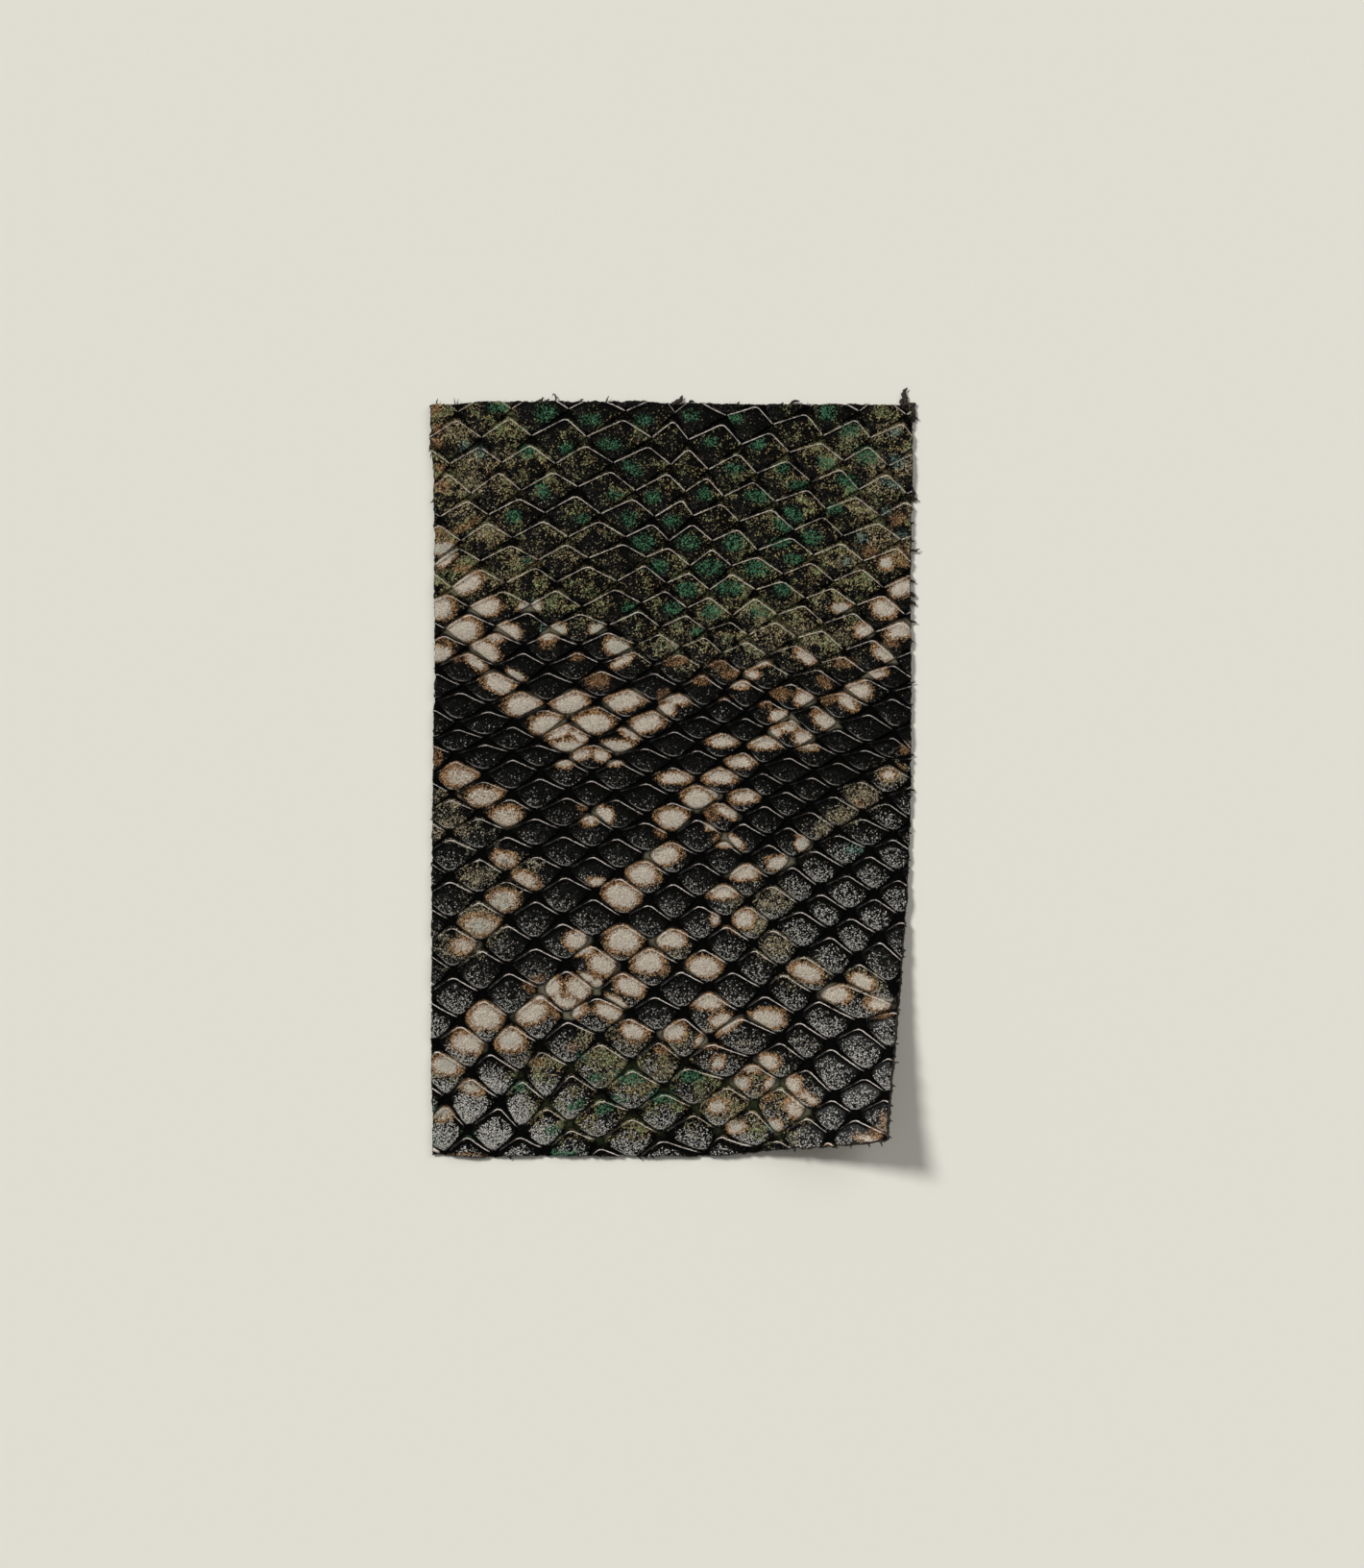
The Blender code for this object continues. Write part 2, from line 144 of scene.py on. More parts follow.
# Patches by kind: x, y, half width and half height in pixels, then the lean in degrees, rising to the
# right, and the strength, where they aren't the usual ones
USUAL_LEAN_AND_STRENGTH = (0.0, 1.0)
PATCHES: dict[Mark, tuple[tuple[float, ...], ...]] = {
    Mark.PALE: (
        (460, 571, 13, 6, 10), (463, 582, 13, 6, 35), (485, 607, 16, 10, 20), (457, 632, 14, 12),
        (505, 632, 15, 9, 10), (547, 633, 7, 5), (558, 629, 5, 7), (480, 656, 17, 12),
        (529, 657, 13, 8, -25), (567, 656, 6, 5), (581, 655, 8, 6), (622, 655, 8, 5), (457, 681, 13, 8),
        (505, 678, 16, 9, -38), (516, 664, 8, 4), (571, 663, 9, 4), (495, 689, 13, 5, -38),
        (519, 711, 16, 9, -28), (537, 703, 10, 4, -30), (644, 674, 13, 8, -20), (648, 688, 12, 4, 30),
        (546, 734, 18, 12), (593, 732, 17, 12, 10), (650, 729, 20, 9, 15), (693, 739, 9, 7, 30),
        (618, 753, 18, 10), (570, 754, 16, 10, 10), (583, 762, 14, 5, 25), (603, 766, 9, 4, -30),
        (593, 777, 17, 6), (656, 764, 10, 4, -30), (641, 778, 17, 7), (673, 752, 16, 9, 15),
        (605, 785, 11, 5, 25), (626, 786, 8, 6, -25), (588, 795, 9, 4), (640, 794, 9, 3),
        (481, 808, 17, 11, -8, 0.8), (504, 829, 18, 10, 0, 0.8), (527, 851, 16, 11, 0, 0.8),
        (614, 853, 8, 5, -15), (628, 848, 11, 8, -25), (690, 890, 17, 10, 15), (700, 852, 16, 10, -10),
        (669, 909, 15, 11), (648, 932, 18, 12, -10), (621, 918, 8, 4), (526, 894, 13, 7, -15, 0.8),
        (546, 915, 15, 8, -25, 0.8), (523, 937, 16, 11, 0, 0.8), (501, 963, 18, 10, 0, 0.8),
        (486, 984, 15, 8, 0, 0.8), (602, 978, 13, 9), (650, 977, 17, 13), (692, 976, 14, 9, 10),
        (609, 990, 9, 4, 10), (629, 1003, 14, 10, -15), (610, 1017, 9, 4, -15), (675, 1000, 15, 12),
        (573, 1027, 11, 10), (603, 1028, 13, 10, -35), (622, 1027, 5, 8), (656, 1026, 14, 9, -20),
        (641, 1042, 12, 4, -28), (588, 1043, 11, 5, -10), (506, 1057, 17, 13), (552, 1053, 17, 11, 15),
        (562, 1038, 8, 3), (598, 1052, 11, 7, 28), (634, 1053, 14, 7, -22), (488, 1085, 16, 10, -10),
        (531, 1081, 14, 11), (465, 1108, 14, 9, -10), (490, 1131, 12, 6, -20, 0.9),
        (461, 1158, 11, 7, 0, 0.9), (660, 1073, 12, 8, -15), (700, 1073, 13, 9), (922, 586, 7, 6),
        (938, 612, 13, 8, 20), (921, 633, 12, 9), (876, 633, 10, 5), (900, 656, 9, 7),
        (937, 655, 14, 9, 10), (923, 681, 13, 8, -30), (910, 702, 12, 5, 15), (893, 718, 13, 9, -10),
        (882, 730, 11, 6, -38), (840, 683, 11, 7, -25), (838, 728, 10, 8, -25), (861, 751, 14, 8, -30),
        (828, 748, 6, 6), (821, 757, 10, 4), (837, 768, 10, 7), (811, 745, 9, 6), (705, 728, 13, 5),
        (793, 691, 10, 3, 10), (782, 702, 7, 5), (770, 713, 9, 4), (752, 771, 14, 6), (796, 773, 15, 6),
        (806, 763, 6, 6), (842, 778, 9, 3), (771, 793, 14, 6), (703, 809, 16, 6), (750, 808, 16, 7),
        (727, 832, 14, 12), (744, 825, 8, 5, -40), (775, 829, 14, 6), (757, 845, 13, 5, -25),
        (762, 875, 13, 5, -30), (755, 879, 8, 3), (740, 860, 6, 4), (813, 898, 14, 7, 5),
        (773, 907, 17, 8), (752, 928, 15, 7), (774, 956, 10, 9), (745, 957, 5, 6), (836, 878, 8, 7),
        (701, 977, 12, 9), (732, 1006, 17, 10), (868, 1034, 15, 9), (917, 1043, 14, 7),
        (840, 1012, 15, 8, -20), (897, 1021, 12, 7, -20), (737, 1042, 16, 8), (751, 1061, 12, 6, 15),
        (760, 1067, 14, 4, 35), (798, 1060, 17, 9), (730, 1084, 6, 6), (747, 1106, 7, 7, 0, 0.9),
        (798, 1105, 12, 8, 0, 0.9), (782, 1112, 9, 4), (771, 1127, 10, 7, 0, 0.9),
        (803, 1128, 7, 7, 0, 0.9), (824, 1128, 9, 9, -30, 0.9), (842, 1142, 12, 4, -35, 0.9),
        (829, 1153, 13, 9, -35, 0.9), (747, 1151, 9, 7, 0, 0.9), (766, 1172, 9, 7, 0, 0.9),
        (804, 1172, 9, 8, 0, 0.9), (903, 1182, 14, 4, -10, 0.8), (730, 1042, 6, 5), (925, 806, 7, 5),
    ),
    Mark.GREEN: (
        (518, 425, 12, 6), (568, 431, 12, 9), (615, 437, 12, 6), (670, 438, 11, 6), (590, 467, 9, 6),
        (634, 463, 14, 6), (548, 470, 8, 9, 60), (658, 488, 13, 6, -30), (565, 510, 7, 12, 30),
        (640, 515, 9, 5), (680, 518, 9, 7), (535, 538, 9, 8), (606, 540, 9, 5), (655, 540, 9, 8),
        (670, 565, 13, 9), (719, 433, 9, 6), (765, 436, 9, 5), (862, 430, 9, 8), (884, 449, 11, 8),
        (902, 474, 14, 10, -20), (740, 460, 9, 5), (790, 463, 9, 6, 30), (860, 481, 11, 7, -20),
        (765, 488, 11, 6), (814, 488, 8, 6), (883, 502, 14, 9, -25), (788, 517, 13, 8), (733, 515, 8, 8),
        (830, 505, 12, 5), (826, 535, 11, 8, -30), (845, 560, 12, 8, -20), (868, 530, 11, 6),
        (717, 565, 12, 8), (764, 565, 11, 9), (700, 543, 10, 6), (686, 590, 10, 8), (738, 591, 15, 8),
        (788, 592, 14, 9), (826, 582, 11, 6, -10), (715, 614, 11, 8), (760, 612, 16, 8),
        (815, 613, 10, 8), (700, 633, 10, 7), (741, 637, 12, 8), (790, 637, 12, 7), (725, 658, 8, 5),
        (655, 633, 9, 6), (812, 565, 12, 6), (815, 548, 12, 6, -30), (458, 1160, 10, 8),
        (620, 1121, 11, 5, 10), (600, 1150, 12, 6, 25), (630, 1153, 11, 6, 20), (645, 1143, 10, 5),
        (655, 1120, 16, 10), (690, 1140, 16, 9), (720, 1120, 14, 7), (540, 1130, 10, 6),
        (488, 1180, 9, 5, -40), (575, 1176, 9, 6), (605, 1098, 6, 5, 20), (585, 1200, 20, 4),
        (548, 583, 5, 5),
    ),
    Mark.BLUE: (
        (460, 571, 12, 5), (468, 577, 10, 5, 35), (547, 632, 8, 6), (558, 629, 7, 8),
        (645, 673, 13, 9, -20), (485, 465, 8, 7), (500, 471, 8, 9), (622, 654, 9, 7), (567, 655, 7, 6),
        (582, 655, 7, 6), (540, 704, 6, 4), (880, 585, 8, 6), (898, 560, 8, 6), (932, 450, 9, 6),
        (927, 503, 13, 6, -20), (937, 557, 10, 5), (922, 586, 6, 5), (922, 532, 6, 5), (874, 633, 9, 6),
        (500, 963, 12, 9), (522, 938, 11, 9), (526, 896, 8, 5), (465, 1107, 12, 8), (530, 1082, 9, 8),
        (490, 1130, 12, 6), (458, 1158, 11, 7), (836, 878, 7, 6), (888, 884, 14, 7), (771, 1126, 8, 6),
        (747, 1150, 8, 5), (766, 1171, 9, 6), (804, 1172, 8, 7), (747, 1105, 5, 5), (705, 1070, 6, 5),
        (455, 1187, 6, 8), (935, 480, 10, 9),
    ),
    Mark.RUST: (
        (455, 425, 6, 10), (456, 447, 6, 6), (455, 462, 8, 6), (458, 488, 7, 5), (460, 505, 10, 7),
        (457, 555, 10, 6), (485, 548, 16, 4, 30), (482, 592, 12, 5), (465, 668, 13, 4, -25),
        (477, 684, 7, 5), (516, 664, 14, 5), (601, 683, 8, 5), (570, 670, 9, 6), (622, 708, 14, 9),
        (618, 738, 9, 3), (612, 854, 9, 7), (688, 867, 8, 5, -30), (455, 788, 6, 9), (608, 840, 7, 4),
        (690, 1010, 8, 6), (560, 1019, 9, 5, 20), (553, 1028, 9, 6, -30), (578, 1053, 5, 10, 15),
        (644, 1018, 9, 6), (655, 1064, 11, 4), (905, 575, 8, 8), (940, 580, 8, 12), (935, 540, 9, 7),
        (928, 670, 9, 5), (880, 690, 14, 6), (858, 710, 10, 6, -30), (862, 728, 9, 6, 30),
        (812, 722, 11, 8), (797, 733, 8, 4), (755, 726, 10, 3), (730, 707, 11, 6), (705, 688, 13, 6),
        (748, 691, 10, 5), (760, 701, 12, 6), (692, 725, 8, 8), (715, 826, 6, 8, 30),
        (741, 848, 8, 8, 30), (762, 836, 6, 4), (750, 872, 9, 6), (740, 1088, 16, 4), (800, 1140, 8, 7),
        (690, 1092, 9, 6), (912, 1176, 10, 8), (865, 1190, 10, 3), (918, 1165, 5, 12),
        (760, 965, 10, 4, -30), (920, 1056, 10, 3, 10), (735, 1076, 7, 5), (595, 1090, 9, 5),
        (560, 1105, 9, 4), (935, 800, 8, 5), (942, 780, 6, 7), (895, 838, 7, 6), (480, 1202, 26, 2),
        (480, 1075, 8, 5, -35),
    ),
    Mark.KHAKI: (
        (470, 440, 38, 30), (470, 500, 36, 34), (520, 440, 34, 22), (545, 490, 40, 30),
        (505, 555, 48, 26), (585, 470, 44, 30, 0, 0.6), (540, 600, 44, 28), (600, 560, 44, 30, 0, 0.6),
        (650, 450, 46, 20, 0, 0.5), (470, 600, 34, 26), (610, 620, 50, 30, 0, 0.75),
        (660, 510, 44, 30, 0, 0.5), (720, 500, 50, 36, 0, 0.5), (790, 520, 60, 60, 0, 0.6),
        (860, 500, 60, 60), (925, 470, 34, 50), (925, 560, 34, 36), (860, 600, 50, 44),
        (760, 600, 60, 44, 0, 0.7), (700, 600, 50, 40, 0, 0.65), (780, 650, 70, 34), (835, 665, 50, 36),
        (690, 670, 40, 24), (725, 680, 34, 22), (470, 850, 32, 24, 0, 0.4), (492, 873, 28, 18, 0, 0.5),
        (495, 910, 30, 18, 0, 0.5), (497, 955, 30, 24, 0, 0.5), (470, 985, 26, 20), (520, 930, 26, 18),
        (545, 900, 24, 10), (898, 828, 22, 14), (925, 806, 18, 14), (875, 850, 20, 14),
        (852, 868, 16, 12), (803, 935, 20, 16), (780, 955, 20, 18), (806, 985, 24, 17),
        (838, 1010, 28, 18), (897, 1020, 22, 16), (770, 935, 12, 10), (640, 1120, 50, 26),
        (700, 1130, 50, 26), (760, 1150, 50, 30), (560, 1110, 30, 20), (600, 1160, 50, 24),
        (800, 1150, 40, 34), (650, 1175, 40, 14), (460, 1110, 22, 14), (625, 1085, 24, 20),
        (820, 1180, 16, 12), (695, 1095, 22, 14),
    ),
    # Where the painted sheen and glints are thickest
    Mark.SHINE: (
        (520, 1160, 90, 45), (700, 1185, 150, 25, 0, 0.6), (620, 1130, 100, 40, 0, 0.4),
        (900, 920, 55, 50, 0, 0.45), (860, 960, 60, 60, 0, 0.45), (900, 1100, 60, 70, 0, 0.4),
        (850, 1070, 60, 60, 0, 0.3), (760, 1090, 80, 60, 0, 0.25), (470, 1100, 40, 60, 0, 0.6),
        (940, 860, 40, 60, 0, 0.3), (780, 985, 60, 50, 0, 0.2), (480, 600, 40, 60, 0, 0.15),
        (560, 540, 120, 50, 0, 0.12), (820, 1150, 80, 50, 0, 0.35), (560, 1080, 70, 40, 0, 0.2),
    ),
    Mark.BEIGE: (
        (898, 828, 17, 11, 0, 0.9), (925, 806, 13, 10, 0, 0.8), (874, 849, 13, 9, 0, 0.8),
        (855, 866, 10, 8, 0, 0.6), (838, 880, 9, 8, 0, 0.6), (803, 935, 18, 13, 0, 0.5),
        (783, 957, 15, 13, 0, 0.9), (770, 936, 12, 6, 0, 0.7), (806, 986, 20, 13, 0, 0.8),
        (836, 1010, 22, 14, 0, 0.7), (897, 1020, 18, 13, 0, 0.6), (917, 1044, 16, 8, 0, 0.8),
        (707, 988, 12, 9, 0, 0.7), (500, 960, 24, 15, 0, 0.8), (488, 984, 22, 13, 0, 0.7),
        (470, 987, 18, 12, 0, 0.4), (523, 937, 18, 12, 0, 0.6), (494, 912, 20, 12, 0, 0.65),
        (470, 862, 22, 13, 0, 0.65), (468, 832, 18, 10, 0, 0.65), (540, 911, 18, 10, 0, 0.5),
        (770, 1092, 20, 12, 0, 0.25), (836, 1090, 22, 12, 0, 0.2), (660, 1080, 22, 12, 0, 0.5),
        (615, 1085, 20, 12, 0, 0.35), (705, 1078, 16, 12, 0, 0.6), (560, 1105, 20, 11, 0, 0.3),
        (655, 1122, 24, 16, 0, 0.5), (470, 1110, 18, 12, 0, 0.6), (750, 1150, 22, 14, 0, 0.6),
        (790, 1150, 24, 20, 0, 0.5), (700, 1110, 20, 12, 0, 0.4), (600, 1120, 18, 12, 0, 0.3),
        (540, 1130, 20, 12, 0, 0.3), (455, 555, 20, 12, 0, 0.4), (478, 545, 20, 10, 0, 0.2),
        (785, 640, 18, 12, 0, 0.4), (742, 640, 18, 10, 0, 0.3), (800, 660, 20, 12, 0, 0.5),
        (838, 660, 18, 12, 0, 0.5), (780, 690, 18, 10, 0, 0.3), (725, 660, 14, 10, 0, 0.2),
        (860, 630, 20, 12, 0, 0.3), (880, 660, 20, 12, 0, 0.4), (600, 655, 20, 12, 0, 0.2),
        (927, 450, 15, 10, 0, 0.6), (905, 478, 18, 12, 0, 0.6), (940, 482, 10, 13, 0, 0.9),
        (920, 503, 18, 11, 0, 0.6), (883, 450, 15, 11, 0, 0.35), (938, 530, 12, 10, 0, 0.6),
        (895, 530, 16, 10, 0, 0.4), (915, 560, 18, 11, 0, 0.6), (880, 585, 18, 11, 0, 0.5),
        (860, 480, 14, 9, 0, 0.3), (850, 560, 16, 10, 0, 0.3), (938, 570, 12, 11, 0, 0.7),
        (474, 450, 20, 14, 0, 0.5), (500, 478, 20, 12, 0, 0.6), (465, 505, 16, 12, 0, 0.5),
        (490, 505, 20, 12, 0, 0.5), (520, 500, 18, 11, 0, 0.4), (480, 532, 20, 11, 0, 0.5),
        (510, 555, 20, 11, 0, 0.5), (545, 580, 18, 11, 0, 0.4), (530, 475, 14, 10, 0, 0.3),
        (570, 555, 18, 10, 0, 0.3), (590, 580, 18, 10, 0, 0.3), (530, 605, 18, 11, 0, 0.4),
    ),
}

# Strands that stand out of the cut edge: half width, then x, y, x, y from root to tip, in pixels
STRANDS = (
    (0.8, 454, 423, 455, 418, 456, 415), (0.6, 474, 422, 473, 414), (0.5, 476, 422, 478, 415),
    (1.8, 558, 423, 562, 418, 567, 414), (1.6, 566, 423, 569, 418, 572, 415), (1.2, 555, 422, 559, 417),
    (0.9, 577, 421, 579, 415, 578, 411, 576, 410, 575, 413), (1.4, 602, 422, 605, 418, 608, 416),
    (1.0, 610, 421, 613, 417), (1.0, 629, 422, 632, 417, 634, 412), (0.7, 668, 421, 669, 416),
    (2.6, 701, 423, 706, 418, 712, 413), (1.6, 717, 422, 720, 418, 722, 417), (1.2, 767, 422, 770, 418),
    (1.2, 811, 423, 816, 419), (1.6, 821, 423, 827, 418, 833, 418),
    (2.6, 944, 424, 943, 415, 940, 410, 944, 403), (2.2, 941, 425, 938, 418, 939, 414),
    (3.6, 947, 419, 949, 429, 951, 440), (2.2, 947, 424, 951, 421, 953, 420),
    (2.0, 947, 434, 952, 434, 955, 436), (1.2, 946, 448, 951, 447), (1.2, 945, 500, 951, 499),
    (3.2, 947, 507, 950, 514, 951, 523), (1.8, 947, 518, 953, 519, 956, 521), (1.0, 946, 531, 952, 531),
    (1.4, 946, 546, 952, 544), (1.5, 946, 562, 952, 564), (1.5, 945, 574, 952, 573, 958, 572),
    (1.6, 946, 604, 953, 606), (2.2, 945, 617, 950, 619, 953, 622), (2.2, 945, 626, 950, 627, 954, 630),
    (1.5, 946, 646, 954, 648), (2.2, 945, 666, 950, 667, 953, 670), (1.1, 945, 711, 953, 710),
    (1.2, 946, 734, 951, 733), (1.5, 945, 785, 952, 786), (1.3, 944, 821, 953, 823),
    (1.1, 944, 866, 950, 868), (1.2, 942, 896, 949, 895), (1.1, 942, 902, 948, 904),
    (1.1, 938, 962, 945, 965), (1.8, 936, 988, 944, 990), (1.1, 936, 994, 943, 996),
    (1.1, 934, 1013, 941, 1012), (1.6, 932, 1038, 937, 1042), (1.5, 931, 1047, 937, 1051),
    (1.3, 928, 1085, 936, 1086), (1.3, 927, 1106, 936, 1104), (1.2, 926, 1127, 932, 1129),
    (1.4, 924, 1146, 929, 1149), (1.3, 923, 1163, 928, 1164), (1.5, 922, 1178, 927, 1181),
    (1.4, 453, 455, 449, 462, 447, 471), (1.2, 453, 464, 448, 477), (1.0, 453, 520, 448, 524),
    (1.0, 453, 850, 448, 854), (1.1, 453, 895, 448, 902), (1.0, 454, 1050, 449, 1055),
    (1.6, 454, 1199, 450, 1202), (1.8, 530, 1201, 532, 1207), (1.6, 664, 1200, 667, 1207),
    (1.8, 671, 1200, 673, 1206), (1.5, 677, 1200, 681, 1206), (1.1, 724, 1199, 725, 1205),
    (1.1, 749, 1198, 751, 1204), (1.5, 827, 1192, 828, 1199), (1.4, 869, 1187, 871, 1194),
    (1.2, 884, 1186, 886, 1193), (1.4, 902, 1184, 905, 1191), (1.3, 915, 1183, 918, 1190),
)


def at_pixel(x: float, y: float) -> tuple[float, float]:
    """Turn a place in the photograph's pixels into metres across and along the sheet."""
    return (x - PIXEL_OF_ORIGIN[0]) * PIXEL, (PIXEL_OF_ORIGIN[1] - y) * PIXEL


def smooth_step(low: float, high: float, value: np.ndarray) -> np.ndarray:
    """Rise smoothly from 0 where a value is low to 1 where it is high."""
    share = np.clip((value - low) / (high - low), 0.0, 1.0)
    return share * share * (3.0 - 2.0 * share)


def soft_least(first: np.ndarray, second: np.ndarray, reach: float | np.ndarray) -> np.ndarray:
    """Give the lesser of two distances, the corner where they meet rounded off over a reach."""
    share = np.clip(0.5 + 0.5 * (second - first) / reach, 0.0, 1.0)
    return second * (1.0 - share) + first * share - reach * share * (1.0 - share)


def bell(distance: np.ndarray, middle: float, half: float) -> np.ndarray:
    """Rise to 1 where a distance is at the middle and fall off within about half on either side."""
    return np.exp(-((distance - middle) / half) ** 2)


@dataclass(frozen=True)
class Curl:
    """The curl of the sheet's corner round a cylinder, as the solid model has it."""

    way: tuple[float, float] = (0.84, -0.54)
    start: float = 46.45 * MM
    radius: float = 52.0 * MM
    steepest: float = 0.97

    def unit(self) -> np.ndarray:
        """Return the way that the sheet curls, as a unit vector."""
        return np.array(self.way) / np.linalg.norm(self.way)

    def flatten(self, places: np.ndarray) -> np.ndarray:
        """Lay places seen from above back onto the flat sheet.

        Args:
            places: Places across and along the curled sheet, one a row.

        Returns:
            The same places on the flat sheet.
        """
        unit = self.unit()
        past = np.clip(places @ unit - self.start, 0.0, self.steepest * self.radius)
        along = self.radius * np.arcsin(past / self.radius) - past
        return places + along[..., None] * unit

    def lift(self, points: np.ndarray) -> np.ndarray:
        """Curl points of the flat sheet.

        Args:
            points: Points on the flat sheet, one a row.

        Returns:
            The same points once the corner has curled up.
        """
        unit = self.unit()
        past = np.maximum(points[:, :2] @ unit - self.start, 0.0)
        angle = past / self.radius
        inner = self.radius - points[:, 2]
        curled = points.copy()
        curled[:, :2] += (inner * np.sin(angle) - past)[:, None] * unit
        curled[:, 2] = np.where(past > 0.0, self.radius - inner * np.cos(angle), points[:, 2])
        return curled


@dataclass
class Lattice:
    """The net of cells, one to a scale, that the scales stand in.

    A cell is counted by two net numbers: the first grows down to the right, the second down to the
    left. Their sum is the scale's row and their difference its column.
    """

    curl: Curl
    corner_from_point: tuple[float, float] = (1.5, -8.0)
    first_cell: tuple[int, int] = (-2, -11)
    cells: tuple[int, int] = (30, 31)
    rows: tuple[int, int] = (-1, 33)
    rows_past: int = 3
    columns: tuple[int, int] = (-6, 25)
    nudge: float = 1e-6
    known: dict[tuple[int, int], np.ndarray] = field(init=False, default_factory=dict)
    table: np.ndarray = field(init=False)

    def __post_init__(self) -> None:
        """Read the points of the scales and set out the corners of the cells."""
        for row, (first, numbers) in SCALE_POINTS.items():
            for index, spot in enumerate(np.reshape(numbers, (-1, 2)).astype(float)):
                self.known[(row, first + 2 * index)] = spot
        self.table = self.corners()

    def point(self, row: int, column: int) -> np.ndarray:
        """Give the point of one scale, carried on past the sheet where there is none to see.

        Args:
            row: The scale's row.
            column: The scale's column.

        Returns:
            Its point in pixels.
        """
        if (row, column) in self.known:
            return self.known[(row, column)]
        if row <= self.rows[0]:
            return 2 * self.point(row + 2, column) - self.point(row + 4, column)
        if row >= self.rows[1]:
            return 2 * self.point(row - 2, column) - self.point(row - 4, column)
        columns = sorted(key[1] for key in self.known if key[0] == row)
        edge, inner = (columns[0], columns[2]) if column < columns[0] else (columns[-1], columns[-3])
        here = self.known[(row, edge)]
        return here + (here - self.known[(row, inner)]) * (column - edge) / (edge - inner)

    def corners(self) -> np.ndarray:
        """Set out the top corner of every cell on the flat sheet.

        Returns:
            The corners in metres by the cells' two net numbers, not numbers far past the sheet.
        """
        table = np.full((self.cells[0] + 1, self.cells[1] + 1, 2), np.nan)
        for index in np.ndindex(table.shape[:2]):
            first, second = (int(value) for value in np.add(index, self.first_cell))
            row, column = first + second, first - second
            near = self.rows[0] - self.rows_past <= row <= self.rows[1] + self.rows_past
            if near and self.columns[0] <= column <= self.columns[1]:
                table[index] = at_pixel(*(self.point(row, column) + self.corner_from_point))
        return self.curl.flatten(table)

    def cell(self, net: np.ndarray) -> tuple[np.ndarray, np.ndarray]:
        """Split net numbers into whole cells and shares of a cell.

        Args:
            net: Pairs of net numbers.

        Returns:
            The table's indices of the cells, and the shares.
        """
        whole = np.floor(net + self.nudge)
        index = np.clip((whole - self.first_cell).astype(int), 0, np.array(self.cells) - 1)
        return index, np.clip(net - whole, 0.0, 1.0)

    def frame(self, net: np.ndarray) -> tuple[np.ndarray, ...]:
        """Give the corners of the cells that net numbers fall in.

        Args:
            net: Pairs of net numbers.

        Returns:
            The top, right, left and bottom corners.
        """
        index, _ = self.cell(net)
        along, back = index.T
        return (self.table[along, back], self.table[along + 1, back], self.table[along, back + 1],
                self.table[along + 1, back + 1])

    def place(self, net: np.ndarray) -> np.ndarray:
        """Find where net numbers lie on the flat sheet.

        Args:
            net: Pairs of net numbers.

        Returns:
            Their places in metres, not numbers where the net doesn't reach.
        """
        top, right, left, bottom = self.frame(net)
        first, second = (share[:, None] for share in self.cell(net)[1].T)
        upper = top * (1 - first) + right * first
        lower = left * (1 - first) + bottom * first
        return upper * (1 - second) + lower * second


class Side(Enum):
    """The four cut sides: the axis that one runs along and the way that is outward."""

    LEFT = (1, -1.0)
    RIGHT = (1, 1.0)
    BOTTOM = (0, -1.0)
    TOP = (0, 1.0)

    @property
    def along(self) -> int:
        """Return the axis that the side runs along."""
        return self.value[0]

    @property
    def across(self) -> int:
        """Return the axis across the side."""
        return 1 - self.value[0]

    @property
    def outward(self) -> float:
        """Return the sign of the way out across the side."""
        return self.value[1]


@dataclass(frozen=True)
class CutSide:
    """One cut side: its corners, and the convex line that it is first trimmed to, both in mm."""

    side: Side
    corners: tuple[tuple[float, float], ...]
    trim: tuple[tuple[float, float], ...]

    def offset(self, line: Sequence[tuple[float, float]], places: np.ndarray) -> np.ndarray:
        """Read how far across a line lies beside places.

        Args:
            line: Points of the line in mm.
            places: Places along the sheet, in metres.

        Returns:
            The line's place across the side, in metres.
        """
        points = sorted(line, key=lambda point: point[self.side.along])
        along = [point[self.side.along] * MM for point in points]
        across = [point[self.side.across] * MM for point in points]
        return np.interp(places[:, self.side.along], along, across)

    def depth(self, places: np.ndarray) -> np.ndarray:
        """Tell how deep inside the trimmed side places are, in metres."""
        return self.side.outward * (self.offset(self.trim, places) - places[:, self.side.across])


